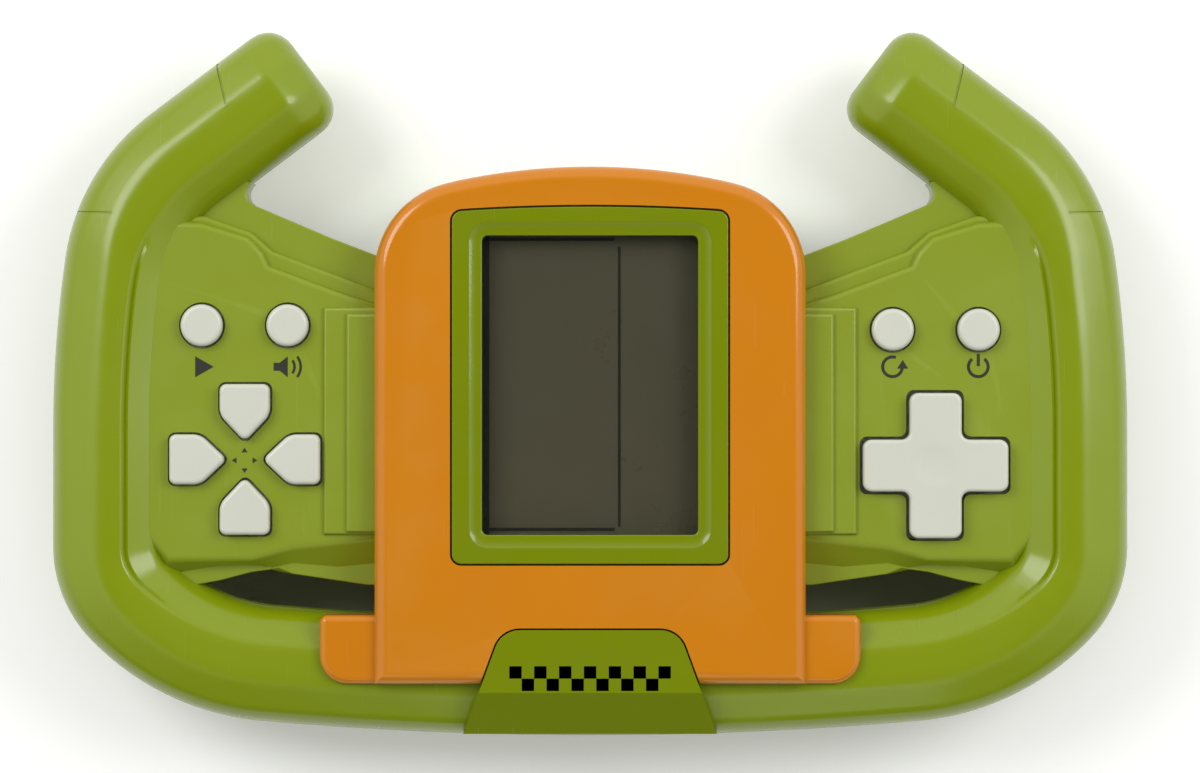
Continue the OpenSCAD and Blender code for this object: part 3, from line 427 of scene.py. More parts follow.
def rimStops():  # middle line of the right half from the bottom: place, outward direction, distance left to the tip
    def outward(d):
        return Vector((math.sin(math.radians(d)), -math.cos(math.radians(d))))

    half = rim["width"] / 2
    (bottomR, bottomTurn), (slantR, slantTurn), cornerR = rim["bottom"], rim["slant"], rim["corner"]
    (sideR, sideTurn), (shoulderR, shoulderTurn) = rim["side"], rim["shoulder"]
    a, b, c = bottomTurn, bottomTurn + slantTurn, 90 + sideTurn
    d = c + shoulderTurn
    bottomC = Vector((0, bottomR - rim["low"]))
    slantC = bottomC + (bottomR - slantR) * outward(a)
    cornerC = slantC + (slantR - cornerR) * outward(b)
    sideC = cornerC + Vector((cornerR - sideR, rim["sideLength"]))
    shoulderC = sideC + (sideR - shoulderR) * outward(c)

    def along(centre, radius, start, end, steps):
        turns = [start + (end - start) * i / steps for i in range(steps)]
        return [(centre + (radius - half) * outward(turn), outward(turn)) for turn in turns]

    stops = (along(bottomC, bottomR, 0, a, 14) + along(slantC, slantR, a, b, 20) + along(cornerC, cornerR, b, 90, 18)
             + [(cornerC + Vector((cornerR - half, rim["sideLength"] * i / 8)), outward(90)) for i in range(8)]
             + along(sideC, sideR, 90, c, 8) + along(shoulderC, shoulderR, c, d, 22))
    horn = shoulderC + (shoulderR - half) * outward(d)
    way = Vector((math.cos(math.radians(d)), math.sin(math.radians(d))))
    stops = [(place, out, 99) for place, out in stops]
    for left in [25.2, 21, 17, 13, 9.5, 7.4, 6.7, 6.2, 5.6, 4.6, 3.4, 2.3, 1.5, 0.9, 0.5, 0.2, 0.05, 0]:
        stops.append((horn + (rim["horn"] - left) * way, outward(d), left))
    return stops


def bothSides(stops):  # the stops of the left half, then those of the right half
    left = [(Vector((-place.x, place.y)), Vector((-out.x, out.y)), tip) for place, out, tip in reversed(stops[1:])]
    return left + stops


def bentGrid(name, stops, section):  # section gives each corner's distance outward and its height over the joint
    columns = len(rim["open"])
    deselect()
    bpy.ops.mesh.primitive_grid_add(x_subdivisions=columns - 1, y_subdivisions=len(stops) - 1, size=1)
    piece = named(name)
    for row, (place, out, tip) in enumerate(stops):
        for column, (across, height) in enumerate(section(place, tip)):
            piece.data.vertices[row * columns + column].co = (
                (place.x + across * out.x) * mm, (place.y + across * out.y) * mm, (rim["split"] + height) * mm)
    return piece


def rimHalf(name, front):
    half, radius = rim["width"] / 2, rim["tipRadius"]

    def section(place, tip):
        grip = ease(place.y, -45, -27) * (1 - ease(place.y, 16, 31)) * (1 if abs(place.x) > 40 else 0)
        if not front:
            grip = 0
        # the horn's end: corners rounded as seen from the front, and the face sloped down to a blunt edge
        narrow = 1 if tip > radius else (half - radius + math.sqrt(max(radius ** 2 - (radius - tip) ** 2, 0))) / half
        slope = 1 - 0.36 * (1 - ease(tip, 0.3, 6.9) ** 0.8) if tip < 6.9 else 1
        slope -= 0.3 * max(0, 1 - tip / 1.6) ** 2 if tip < 1.6 else 0
        corners = []
        for (d0, h0), (d1, h1) in zip(rim["open"], rim["grip"]):
            height = (h0 + (h1 - h0) * grip) * slope * (0 if tip == 0 else 1)
            corners.append(((half - d0 - (d1 - d0) * grip) * narrow, height if front else -height))
        return corners

    piece = bentGrid(name, bothSides(rimStops()), section)
    facesOut(piece)
    top = max(piece.data.polygons, key=lambda f: f.center.z if front else -f.center.z)
    if (top.normal.z > 0) != front:
        editing(piece, True)
        bpy.ops.mesh.flip_normals()
        done()
    apply(piece, "SOLIDIFY", {"thickness": rim["wall"] * mm, "offset": -1, "use_even_offset": True,
                              "thickness_clamp": 0.6})
    return piece


def rimSeat(grow, horn=False):  # the front of the lower rim or of the right horn, grown a little, for cutting
    stops = [s for s in rimStops() if (s[0].y > 15 if horn else s[0].x < 62 and s[0].y < -20)]
    half = rim["width"] / 2
    spread = (half + grow) / half
    corners = [((half - d) * spread, h * spread) for d, h in rim["open"]]
    corners[0], corners[-1] = (corners[0][0], -3), (corners[-1][0], -3)
    piece = bentGrid("seat", stops if horn else bothSides(stops), lambda place, tip: corners)
    editing(piece)
    bpy.ops.mesh.select_mode(type="EDGE")
    bpy.ops.mesh.select_all(action="SELECT")
    bpy.ops.mesh.region_to_loop()
    bpy.ops.mesh.edge_face_add()
    done()
    facesOut(piece)
    return piece


# ---- materials; each pattern's scale is 1000 over its size in mm
def waves(pitch):  # the scale that gives a wave texture bands of a pitch in mm
    return 1000 / pitch / 20 * 3.1416


def twoTones(look):
    return {"data_type": "RGBA", "6": linear(look["colour"]), "7": linear(look["second"])}


def makePlastic(name, look):  # moulded plastic: flow marks, cloudy gloss, scratches, fine grain and rubbed edges
    made, add, place = emptyMaterial(name)
    # slow changes of tone where the melt flowed, some 25 mm across
    flow = add("TexNoise", {"Scale": 1000 / look.get("flow", 25), "Detail": 3, "Roughness": 0.45}, {"Vector": place})
    tone = add("Mix", twoTones(look), {"0": flow})
    # rubbed edges are a little paler
    shape = add("NewGeometry")
    edge = add("MapRange", {"From Min": 0.52, "From Max": 0.62, "To Max": 0.25},
            {"Value": shape.outputs["Pointiness"]})
    patches = add("TexNoise", {"Scale": 1000 / 7, "Detail": 4}, {"Vector": place})
    worn = add("Math", {"operation": "MULTIPLY"}, {"0": edge, "1": patches})
    colour = add("Mix", {"data_type": "RGBA", "7": linear(look["rubbed"])}, {"0": worn, "6": tone.outputs[2]})
    # handling leaves cloudy areas and thin scratches in the gloss
    cloud = add("TexNoise", {"Scale": 1000 / 14, "Detail": 5, "Roughness": 0.6}, {"Vector": place})
    stretched = add("Mapping", {"Rotation": (0, 0, 0.6), "Scale": (1000 / 0.5, 1000 / 16, 1000 / 3)},
            {"Vector": place})
    scratch = add("TexNoise", {"Scale": 1, "Detail": 1}, {"Vector": stretched})
    thin = add("MapRange", {"From Min": 0.7, "From Max": 0.78, "To Max": 0.12}, {"Value": scratch})
    gloss = add("MapRange", {"From Min": 0.3, "From Max": 0.7, "To Min": look["rough"] - 0.05,
            "To Max": look["rough"] + 0.07}, {"Value": cloud})
    rough = add("Math", {"operation": "ADD"}, {"0": gloss, "1": thin})
    # spark-eroded grain of the mould, and the slight waves of a thin wall
    grain = add("TexNoise", {"Scale": 1000 / look.get("grain", 0.4), "Detail": 2}, {"Vector": place})
    fine = add("Bump", {"Strength": look.get("grainStrength", 0.25), "Distance": 0.00002}, {"Height": grain})
    wave = add("TexNoise", {"Scale": 1000 / 18, "Detail": 1}, {"Vector": place})
    relief = add("Bump", {"Strength": look.get("waveStrength", 0.25), "Distance": 0.0003},
            {"Height": wave, "Normal": fine})
    surface = add("BsdfPrincipled", {"IOR": 1.5, "Subsurface Weight": look.get("depth", 0),
            "Subsurface Radius": (0.0012, 0.001, 0.0005)},
                      {"Base Color": colour.outputs[2], "Roughness": rough, "Normal": relief})
    add("OutputMaterial", None, {"Surface": surface})
    return made


def makeMetal(name, look):  # bare metal: drawn or rolled streaks, dull spots, a little tarnish
    made, add, place = emptyMaterial(name)
    drawn = add("Mapping", {"Scale": (1000 / 3, 1000 / 0.3, 1000 / 3)}, {"Vector": place})
    streaks = add("TexNoise", {"Scale": 1, "Detail": 3}, {"Vector": drawn})
    spots = add("TexNoise", {"Scale": 1000 / 2.2, "Detail": 4, "Roughness": 0.6}, {"Vector": place})
    dull = add("MapRange", {"From Min": 0.5, "From Max": 0.72}, {"Value": spots})
    colour = add("Mix", twoTones(look), {"0": dull})
    rough = add("MapRange", {"To Min": look["rough"] - 0.08, "To Max": look["rough"] + 0.16}, {"Value": streaks})
    relief = add("Bump", {"Strength": 0.3, "Distance": 0.00002}, {"Height": streaks})
    surface = add("BsdfPrincipled", {"Metallic": 1},
                      {"Base Color": colour.outputs[2], "Roughness": rough, "Normal": relief})
    add("OutputMaterial", None, {"Surface": surface})
    return made


def makeStriped(name, look):  # bands side by side across one direction: wires of a ribbon, a wound or layered part
    made, add, place = emptyMaterial(name)
    bands = add("TexWave", {"bands_direction": look["across"], "wave_profile": "SIN", "Scale": waves(look["pitch"])},
            {"Vector": place})
    sharp = add("MapRange", {"From Min": look["share"] - 0.06, "From Max": look["share"] + 0.06},
            {"Value": bands.outputs["Fac"]})
    mottled = add("TexNoise", {"Scale": 1000 / 1.5, "Detail": 4}, {"Vector": place})
    first = add("Mix", twoTones(look), {"0": mottled})
    colour = add("Mix", {"data_type": "RGBA", "7": linear(look["line"])}, {"0": sharp, "6": first.outputs[2]})
    rough = add("MapRange", {"To Min": look["rough"] - 0.08, "To Max": look["rough"] + 0.12}, {"Value": mottled})
    relief = add("Bump", {"Strength": 0.5, "Distance": 0.00008}, {"Height": bands.outputs["Fac"]})
    surface = add("BsdfPrincipled", {"Metallic": look.get("metal", 0)},
                      {"Base Color": colour.outputs[2], "Roughness": rough, "Normal": relief})
    add("OutputMaterial", None, {"Surface": surface})
    return made


def makeBoard(name):  # glass-fibre board: green lacquer over copper tracks, its weave showing faintly
    made, add, place = emptyMaterial(name)
    squared = add("VectorMath", {"operation": "SNAP", "1": (0.0005, 0.0005, 0.0005)}, {"0": place})
    tracks = add("TexNoise", {"Scale": 1000 / 5, "Detail": 1}, {"Vector": squared})
    lines = add("Math", {"operation": "PINGPONG", "1": 0.06}, {"0": tracks})
    copper = add("MapRange", {"From Min": 0.048, "From Max": 0.053}, {"Value": lines})
    cloth = add("TexNoise", {"Scale": 1000 / 6, "Detail": 3}, {"Vector": place})
    lacquer = add("Mix", {"data_type": "RGBA", "6": linear("0F4A22"), "7": linear("15592B")}, {"0": cloth})
    colour = add("Mix", {"data_type": "RGBA", "7": linear("2F7A3E")}, {"0": copper, "6": lacquer.outputs[2]})
    across = add("TexWave", {"bands_direction": "X", "Scale": waves(0.6)}, {"Vector": place})
    along = add("TexWave", {"bands_direction": "Y", "Scale": waves(0.6)}, {"Vector": place})
    weave = add("Math", {"operation": "MULTIPLY"}, {"0": across.outputs["Fac"], "1": along.outputs["Fac"]})
    woven = add("Bump", {"Strength": 0.15, "Distance": 0.00002}, {"Height": weave})
    raised = add("Bump", {"Strength": 0.6, "Distance": 0.00004}, {"Height": copper, "Normal": woven})
    surface = add("BsdfPrincipled", {"Roughness": 0.3}, {"Base Color": colour.outputs[2], "Normal": raised})
    add("OutputMaterial", None, {"Surface": surface})
    return made


def makeClear(name):  # clear acrylic, with the faint scratches of a wiped window
    made, add, place = emptyMaterial(name)
    wiped = add("Mapping", {"Rotation": (0, 0, 0.4), "Scale": (1000 / 0.4, 1000 / 20, 1000)}, {"Vector": place})
    scratch = add("TexNoise", {"Scale": 1, "Detail": 2}, {"Vector": wiped})
    thin = add("MapRange", {"From Min": 0.62, "From Max": 0.75, "To Min": 0.1, "To Max": 0.13}, {"Value": scratch})
    smear = add("TexNoise", {"Scale": 1000 / 9, "Detail": 4}, {"Vector": place})
    rough = add("MapRange", {"To Min": 0.05, "To Max": 0.08}, {"Value": smear})
    relief = add("Bump", {"Strength": 0.03, "Distance": 0.0001}, {"Height": smear})
    surface = add("BsdfPrincipled", {"Base Color": linear("20221A"), "IOR": 1.49},
                      {"Alpha": thin, "Roughness": rough, "Normal": relief})
    add("OutputMaterial", None, {"Surface": surface})
    return made


# the base of each plastic is the photo's colour with the gloss taken off; the second colour is its slow change of tone
shellGreen = makePlastic("glossy green ABS shell", {"colour": "82940A", "second": "7D8F08", "rubbed": "9BAA3C",
        "rough": 0.2})
wingGreen = makePlastic("satin green ABS wings", {"colour": "86971A", "second": "819216", "rubbed": "A2AF4E",
        "rough": 0.36, "grainStrength": 0.35})
trimGreen = makePlastic("deep glossy green ABS trim", {"colour": "768600", "second": "728200", "rubbed": "8B9A22",
        "rough": 0.14})
orangePlastic = makePlastic("glossy orange ABS panel", {"colour": "CD7E0C", "second": "C8790A", "rubbed": "D59643",
        "rough": 0.15})
whitePlastic = makePlastic("milky white ABS keys", {"colour": "D0D2C4", "second": "CBCDBF", "rubbed": "D6D7CC",
        "rough": 0.3, "flow": 9, "depth": 0.15})
# print is a thin film of ink: the same mottling, on a black ground, without any gloss to speak of
blackInk = makePlastic("black pad print", {"colour": "1B1D12", "second": "24261A", "rubbed": "4A4C3A", "rough": 0.5,
        "flow": 3, "grain": 0.15})
# the display's front film in its off state, matt and slightly uneven
displayFilm = makePlastic("grey-brown display film", {"colour": "5A5440", "second": "4C4C38", "rubbed": "5A5642",
        "rough": 0.3, "flow": 30, "grain": 0.12, "waveStrength": 0.05})
# the playfield's printed lines; the wide left strip and the slightly wider bottom line also carry painted shade of the
# window wall
playfieldPrintAndShade = makePlastic("dark display border", {"colour": "16170D", "second": "121309", "rubbed": "2A2B1E",
        "rough": 0.4, "flow": 12, "grain": 0.12})
clearAcrylic = makeClear("clear acrylic window")
silicone = makePlastic("grey silicone rubber", {"colour": "B9BBB4", "second": "AEB0A8", "rubbed": "C9CBC4",
        "rough": 0.62, "flow": 8, "grain": 0.2})
blackResin = makePlastic("black epoxy drop", {"colour": "15161A", "second": "1D1E22", "rubbed": "35363A",
        "rough": 0.28, "flow": 3, "grain": 0.3})
ceramic = makePlastic("tan ceramic parts", {"colour": "A98F63", "second": "8F784F", "rubbed": "C7BFA9", "rough": 0.45,
        "flow": 1.5, "grain": 0.1})
redWire = makePlastic("red wire sleeve", {"colour": "A3231C", "second": "8E1C17", "rubbed": "C25A50", "rough": 0.4,
        "flow": 3, "grain": 0.2})
screwSteel = makeMetal("zinc-plated screw steel", {"colour": "B4B5B0", "second": "8C8D86", "rough": 0.32})
springSteel = makeMetal("nickel-plated spring wire", {"colour": "C2C0B6", "second": "9C9A8F", "rough": 0.26})
plateSteel = makeMetal("nickel-plated contact strip", {"colour": "BDB9A9", "second": "8F8B7A", "rough": 0.34})
speakerSteel = makeMetal("pressed speaker steel", {"colour": "8E908E", "second": "6C6E6C", "rough": 0.42})
boardGreen = makeBoard("green glass-fibre board")
ribbonGrey = makeStriped("grey ribbon cable", {"across": "Y", "pitch": 1.27, "share": 0.2, "colour": "B7B7B3",
        "second": "A9A9A4", "line": "6F6F6B", "rough": 0.5})
zebraRubber = makeStriped("layered contact rubber", {"across": "X", "pitch": 0.18, "share": 0.5, "colour": "C98B8E",
        "second": "B97B7E", "line": "2A2526", "rough": 0.6})
cellWrap = makeStriped("printed cell wrap", {"across": "X", "pitch": 24, "share": 0.62, "colour": "3A3D44",
        "second": "33363D", "line": "B98A3C", "rough": 0.35, "metal": 0.4})
say("materials")


# ---- front case: rim, wings with their raised platforms, steps beside the block, and the plate behind the panel
front = {
    "wingEdge": 1.1, "terraceTop": 21, "platformEdge": 0.7,
    "terrace": [(33.5, 0), (74, 0), (74, 18), (72.4, 24.6), (67.4, 27.6), (62.4, 27.5), (55, 24.9), (51.5, 21.8),
    (40.3, 17.6), (33.5, 15)],
    "steps": [(43.2, 23.15, -24.2, 12.6), (39.5, 23.95, -23.8, 11.6)],
    "lines": [((61.4, 55), (58.8, 45.2)), ((88, 28.3), (77.4, 27.9))], "lineWidth": 0.4, "lineDepth": 0.2,
}
pad = {
    "x": 55.9, "keysY": -12, "crossY": -13, "keyWidth": 8.1, "tip": 2.9, "shoulder": 7.2, "end": 12.2, "span": 23.5,
    "arm": 8.4,
    "round": [(-62.9, 9.7, "start_button"), (-49, 9.7, "sound_button"), (49, 9, "reset_button"),
    (62.9, 9, "power_button")],
    "diameter": 6.8, "gap": 0.3, "crossGap": 0.45, "rise": 1.8, "point": (2, 4),
}


def keyOutline(turn, grow=0):
    half = pad["keyWidth"] / 2
    points = [(0, -pad["tip"]), (-half, -pad["shoulder"]), (-half, -pad["end"]), (half, -pad["end"]),
            (half, -pad["shoulder"])]
    points = inset(points, -grow)
    c, s = math.cos(math.radians(turn)), math.sin(math.radians(turn))
    return [(x * c - y * s - pad["x"], x * s + y * c + pad["keysY"]) for x, y in points]


def crossOutline(grow=0):
    a, b = pad["arm"] / 2 + grow, pad["span"] / 2 + grow
    quarter = [(b, -a), (b, a), (a, a)]
    points = []
    for q in range(4):
        c, s = math.cos(math.radians(90 * q)), math.sin(math.radians(90 * q))
        points += [(x * c - y * s + pad["x"], x * s + y * c + pad["crossY"]) for x, y in quarter]
    return points


def wingFront(name):
    base = slab(name, wing["outline"], 15, wing["front"])
    softenEdges(base, lambda at, n: at.z > wing["front"] - 0.1, front["wingEdge"], 4)
    softenEdges(base, lambda at, n: at.z < 15.1, 0.3, 1)
    terrace = slab(name + "_terrace", front["terrace"], 17, front["terraceTop"])
    softenEdges(terrace, lambda at, n: at.z > front["terraceTop"] - 0.1, 0.8, 4)
    for piece in (base, terrace):
        cut(piece, slab("well", inset(wing["platform"], 2.4), 10, 30))
    return [base, terrace]


def platform(name):  # the foot is wider than the top, most of all where the wing slopes down to the opening
    piece = tiered(name, [(wing["foot"], 17.2), (wing["platform"], wing["platformTop"])])
    softenEdges(piece, lambda at, n: at.z > wing["platformTop"] - 0.1, front["platformEdge"], 5)
    cut(piece, slab("hollow", inset(wing["platform"], 2.2), 15, wing["platformTop"] - 2))
    pieces = [piece]
    for far, top, low, high in front["steps"]:
        step = slab(name + "_step", [(33.5, low), (far, low), (far, high), (33.5, high)], wing["platformTop"] - 0.6,
                top)
        softenEdges(step, lambda at, n: at.z > top - 0.1 and at.x > 34, 0.55, 4)
        pieces.append(step)
    return pieces


def keyHoles(sign):  # what is cut from a platform for the buttons that stand in it
    top = wing["platformTop"]
    cutters = []
    for x, y, _ in pad["round"]:
        if x * sign > 0:
            cutters.append(rods([(x, y)], pad["diameter"] + 2 * pad["gap"], top - 3, top + 3, 64, "hole"))
    if sign < 0:
        outlines = [keyOutline(turn, pad["gap"]) for turn in (0, 90, 180, 270)]
    else:
        outlines = [crossOutline(pad["crossGap"])]
    for outline in outlines:
        hole = slab("hole", outline, top - 3, top + 3)
        softenEdges(hole, lambda at, n: abs(at.z - top) < 1, 1.2, 5)
        cutters.append(hole)
    return joined(cutters, "holes")


def makeFrontCase():
    pieces = [rimHalf("front_case", True)]
    pieces[0].data.materials.append(shellGreen)
    for start, end in front["lines"]:
        a, b = Vector(start), Vector(end)
        side = Vector((a.y - b.y, b.x - a.x)).normalized() * front["lineWidth"] / 2
        line = slab("line", [tuple(a - side), tuple(a + side), tuple(b + side), tuple(b - side)], 16, 30)
        cut(line, rimSeat(-front["lineDepth"], True))
        twin = mirrored(line, "line_left")
        cut(pieces[0], line)
        cut(pieces[0], twin)
    for part in wingFront("wing_right") + platform("platform_right"):
        twin = mirrored(part, part.name + "_left")
        for piece, sign in ((part, 1), (twin, -1)):
            if piece.name.startswith("platform_right") and "step" not in piece.name:
                cut(piece, keyHoles(sign))
                bevelCorners(piece, 0.14, 2, 50)
            piece.data.materials.clear()
            piece.data.materials.append(wingGreen)
            pieces.append(piece)
    skirt = slab("skirt", blockOutline(-40.5), rim["split"], wing["front"])
    cut(skirt, slab("room", blockOutline(-38.5, 2), 10, 30))
    skirt.data.materials.append(wingGreen)
    pieces.append(skirt)
    plate = slab("plate", blockOutline(-35.9, 2.1), 15, block["core"])
    cut(plate, slab("room", blockOutline(-33.9, 4.1), 14, block["core"] - 2))
    cut(plate, slab("window", rectangle(-17.8, -24.5, 17.8, 24.5), 20, 30))
    cut(plate, slab("pocket", rectangle(-18.9, -25.6, 18.9, 25.6), 24.7, 30))
    plate.data.materials.append(wingGreen)
    pieces.append(plate)
    return joined(pieces, "front_case")


# ---- orange centre panel with its low ears, which straddles the rim
panel = {
    "front": 28, "foot": 19.6, "edge": 2.3, "earTop": 26, "earEdge": 1.2, "earHalf": 43.7, "earTopY": -37.1,
    "earRadius": 4.5,
    "bezel": (44.5, 57.5), "bezelGap": 0.3, "seatGap": 0.1,
}
tab = {"top": -39.4, "edge": 0.45, "foot": 18, "gap": 0.28, "slopes": [(-49.5, 28, -52.3, 27.2),
        (-52.3, 27.2, -55.2, 24.6), (-55.2, 24.6, -56.2, 22.6)]}


def tabOutline(grow=0):
    corner = arc((11.3, tab["top"] - 4.2), 4.2, 20, 90, 9)
    right = [(20.6, -56.5), (17.2, -47.5)] + corner
    return inset(right + flip(right), -grow)


def makeCentrePanel():
    body = slab("centre_panel_piece", blockOutline(block["low"]), panel["foot"], panel["front"])
    softenEdges(body, lambda at, n: at.z > panel["front"] - 0.1, panel["edge"], 8)
    ear = panel["earHalf"]
    low = arc((ear - panel["earRadius"], block["low"] + panel["earRadius"]), panel["earRadius"], -90, 0, 10)
    ears = slab("ears", low + [(ear, panel["earTopY"] - 0.8),
            (ear - 0.8, panel["earTopY"])] + flip(low + [(ear, panel["earTopY"] - 0.8),
            (ear - 0.8, panel["earTopY"])]),
                panel["foot"], panel["earTop"])
    softenEdges(ears, lambda at, n: at.z > panel["earTop"] - 0.1, panel["earEdge"], 5)
    cut(body, ears, "UNION")
    cut(body, rimSeat(panel["seatGap"]))
    cut(body, slab("core", blockOutline(-35.9, 2), 10, block["core"] + 0.05))
    cut(body, bezelPrism("opening", panel["bezelGap"], 15, 40))
    cut(body, slab("notch", tabOutline(tab["gap"]), 10, 40))
    bevelCorners(body, 0.12, 2, 60)
    return body


# ---- green bezel with its cove, and the tab below it
bezel = {"low": 25.85, "front": 28, "window": (34.8, 48.2), "windowRadius": 0.9, "radius": 1.5, "edge": 0.2,
        "sag": 0.8,
         "cove": [(0, 27.4), (0.7, 27.45), (1.4, 27.6), (2, 27.82), (2.4, 28.02), (2.8, 28.4)]}


def bezelOutline(grow):  # its upper edge is slightly arched
    wide, high = (size / 2 + grow for size in panel["bezel"])
    radius = (wide ** 2 + bezel["sag"] ** 2) / (2 * bezel["sag"])
    half = math.degrees(math.asin(wide / radius))
    return [(-wide, -high), (wide, -high)] + arc((0, high - radius), radius, 90 - half, 90 + half, 12)


def windowOutline(grow):
    wide, high = (size / 2 + grow for size in bezel["window"])
    return rounded(-wide, -high, wide, high, bezel["windowRadius"] + grow)


def bezelPrism(name, grow, low, high):
    piece = slab(name, bezelOutline(grow), low, high)
    softenEdges(piece, lambda at, n: low + 0.1 < at.z < high - 0.1 and abs(at.x) > panel["bezel"][0] / 2 - 0.3,
            bezel["radius"] + grow, 6)
    return piece


def makeBezel():
    piece = bezelPrism("screen_bezel_piece", 0, bezel["low"], bezel["front"])
    cut(piece, tiered("cove", [(windowOutline(grow), height) for grow, height in bezel["cove"]]))
    cut(piece, slab("view", windowOutline(0), 20, 40))
    bevelCorners(piece, bezel["edge"], 3, 42)
    return piece


def makeTab():
    piece = slab("name_tab_piece", tabOutline(), tab["foot"], panel["front"])
    editing(piece, True)
    for y0, z0, y1, z1 in tab["slopes"]:
        bpy.ops.mesh.select_all(action="SELECT")
        bpy.ops.mesh.bisect(plane_co=(0, y0 * mm, z0 * mm), plane_no=(0, z1 - z0, -(y1 - y0)), use_fill=True,
                clear_outer=True)
    done()
    cut(piece, rimSeat(0.05))
    bevelCorners(piece, tab["edge"], 4, 40)
    return piece


# ---- buttons, direction keys and cross pad
def makeRound(x, y, name):
    flange, top = wing["platformTop"] - 2.1, wing["platformTop"] + pad["rise"]
    piece = rods([(x, y)], pad["diameter"], flange, top, 72, name + "_cap")
    editing(piece)
    pick("edges", lambda at, n: at.z > top - 0.05)
    soften(0.75, 6)
    pick("faces", lambda at, n: n.z < -0.9)
    bpy.ops.mesh.extrude_region_move()
    bpy.ops.transform.resize(value=(1.235, 1.235, 1), center_override=(x * mm, y * mm, flange * mm))
    raiseUp(-1.2)
    bpy.ops.mesh.extrude_region_move()
    bpy.ops.transform.resize(value=(0.52, 0.52, 1), center_override=(x * mm, y * mm, (flange - 1.2) * mm))
    raiseUp(-0.6)
    done()
    facesOut(piece)
    return piece


def makeKey(turn, name):
    flange, top = wing["platformTop"] - 2.1, wing["platformTop"] + pad["rise"] + 0.2
    piece = slab(name + "_cap", keyOutline(turn), flange, top)
    softenEdges(piece, lambda at, n: flange + 0.2 < at.z < top - 0.2, 1.1, 6)
    softenEdges(piece, lambda at, n: at.z > top - 0.05, 0.7, 6)
    lip = slab("lip", keyOutline(turn, 0.6), flange - 1.2, flange)
    foot = slab("foot", keyOutline(turn, -2), flange - 1.75, flange - 1.1)
    facesOut(piece)
    return joined([piece, lip, foot], name + "_cap")


def makeCross():
    flange, top = wing["platformTop"] - 3, wing["platformTop"] + pad["rise"] + 0.4
    piece = slab("cross_pad_cap", crossOutline(), flange, top)
    editing(piece)
    middle = Vector((pad["x"], pad["crossY"]))
    pick("edges", lambda at, n: flange + 0.2 < at.z < top - 0.2 and (at.xy - middle).length > 8)
    soften(1.4, 6)
    pick("edges", lambda at, n: flange + 0.2 < at.z < top - 0.2 and (at.xy - middle).length < 7)
    soften(1.3, 6)
    pick("edges", lambda at, n: at.z > top - 0.05)
    soften(0.6, 5)
    done()
    deselect()
    bpy.ops.mesh.primitive_uv_sphere_add(segments=96, ring_count=64, radius=30 * mm,
            location=(middle.x * mm, middle.y * mm, (top + 29.72) * mm))
    cut(piece, named("dish"))
    lip = slab("lip", crossOutline(0.7), flange - 0.9, flange)
    low, high = (disc(middle.x, middle.y, size) for size in pad["point"])
    point = tiered("point", [(low, mat["top"] + 0.1), (high, flange - 0.8)])
    return joined([piece, lip, point], "cross_pad_cap")


# ---- rubber mats under the keys; each hollow dome is modelled at rest between the mat and the key that presses it
mat = {
    "outline": (44.8, -24.6, 69.4, 15), "low": 15.25, "top": 16.25, "hollow": 3.6, "ceiling": 16.95,
    "rings": [(6.6, 16.1), (6.4, 16.4), (5.6, 16.8), (5, 17.2), (4.7, 17.7), (4.6, 18.2), (4.3, 18.35)],
    "keyMiddle": 8.7, "crossMiddle": 8,
}


def domePlaces(sign):
    places = [(x, y, name) for x, y, name in pad["round"] if x * sign > 0]
    if sign < 0:
        middle, reach, names = (-pad["x"], pad["keysY"]), mat["keyMiddle"], ("right_key", "up_key", "left_key",
                "down_key")
    else:
        middle, reach, names = (pad["x"], pad["crossY"]), mat["crossMiddle"], ("cross_pad",) * 4
    return places + [(x, y, name) for (x, y), name in zip(arc(middle, reach, 0, 270, 3), names)]


def makeMat(sign, name):
    x0, y0, x1, y1 = mat["outline"]
    x0, x1 = sorted((x0 * sign, x1 * sign))
    piece = slab(name, rounded(x0, y0, x1, y1, 1.5), mat["low"], mat["top"])
    softenEdges(piece, lambda at, n: at.z > mat["top"] - 0.05, 0.2, 2)
    for x, y, _ in domePlaces(sign):
        cut(piece, slab("hole", disc(x, y, mat["hollow"]), mat["low"] - 1, mat["top"] + 1))
    return piece


def makeDome(x, y, name):
    piece = tiered(name, [(disc(x, y, size, 32), height) for size, height in mat["rings"]])
    cut(piece, slab("hollow", disc(x, y, mat["hollow"]), mat["low"], mat["ceiling"]))
    return piece


# ---- display behind the clear window, and the print on the case
display = {"glass": (39, 54), "low": 21.3, "middle": 22.45, "top": 23.6, "lens": (37.6, 51), "lensLow": 24.75,
        "lensTop": 25.75,
           "lines": [(-17.9, -25, -16.3, 25), (-16.3, 23.35, 4, 23.85), (-16.3, -23.6, 4, -23.05),
           (4.5, -22.9, 4.95, 22.4)]}


def makeDisplay():
    wide, high = (size / 2 for size in display["glass"])
    pieces = [slab("display", rectangle(-wide, -high, wide, high), display["low"], display["middle"]),
              slab("upper_glass", rectangle(-wide, 1.5 - high, wide, high - 1.5), display["middle"],
              display["top"] - 0.2),
              slab("film", rectangle(0.8 - wide, 2.3 - high, wide - 0.8, high - 2.3), display["top"] - 0.2,
              display["top"] - 0.05)]
    for piece in pieces:
        softenEdges(piece, lambda at, n: True, 0.06, 1)
        piece.data.materials.append(displayFilm)
    for line in display["lines"]:  # the printed edge of the playing field; the wide left strip and the slightly wider bottom line are partly painted shade of the window wall
        piece = slab("line", rectangle(*line), display["top"] - 0.06, display["top"] - 0.02)
        piece.data.materials.append(playfieldPrintAndShade)
        pieces.append(piece)
    return joined(pieces, "display")


def makeLens():
    wide, high = (size / 2 for size in display["lens"])
    piece = slab("clear_window", rectangle(-wide, -high, wide, high), display["lensLow"], display["lensTop"])
    softenEdges(piece, lambda at, n: True, 0.15, 2)
    return piece


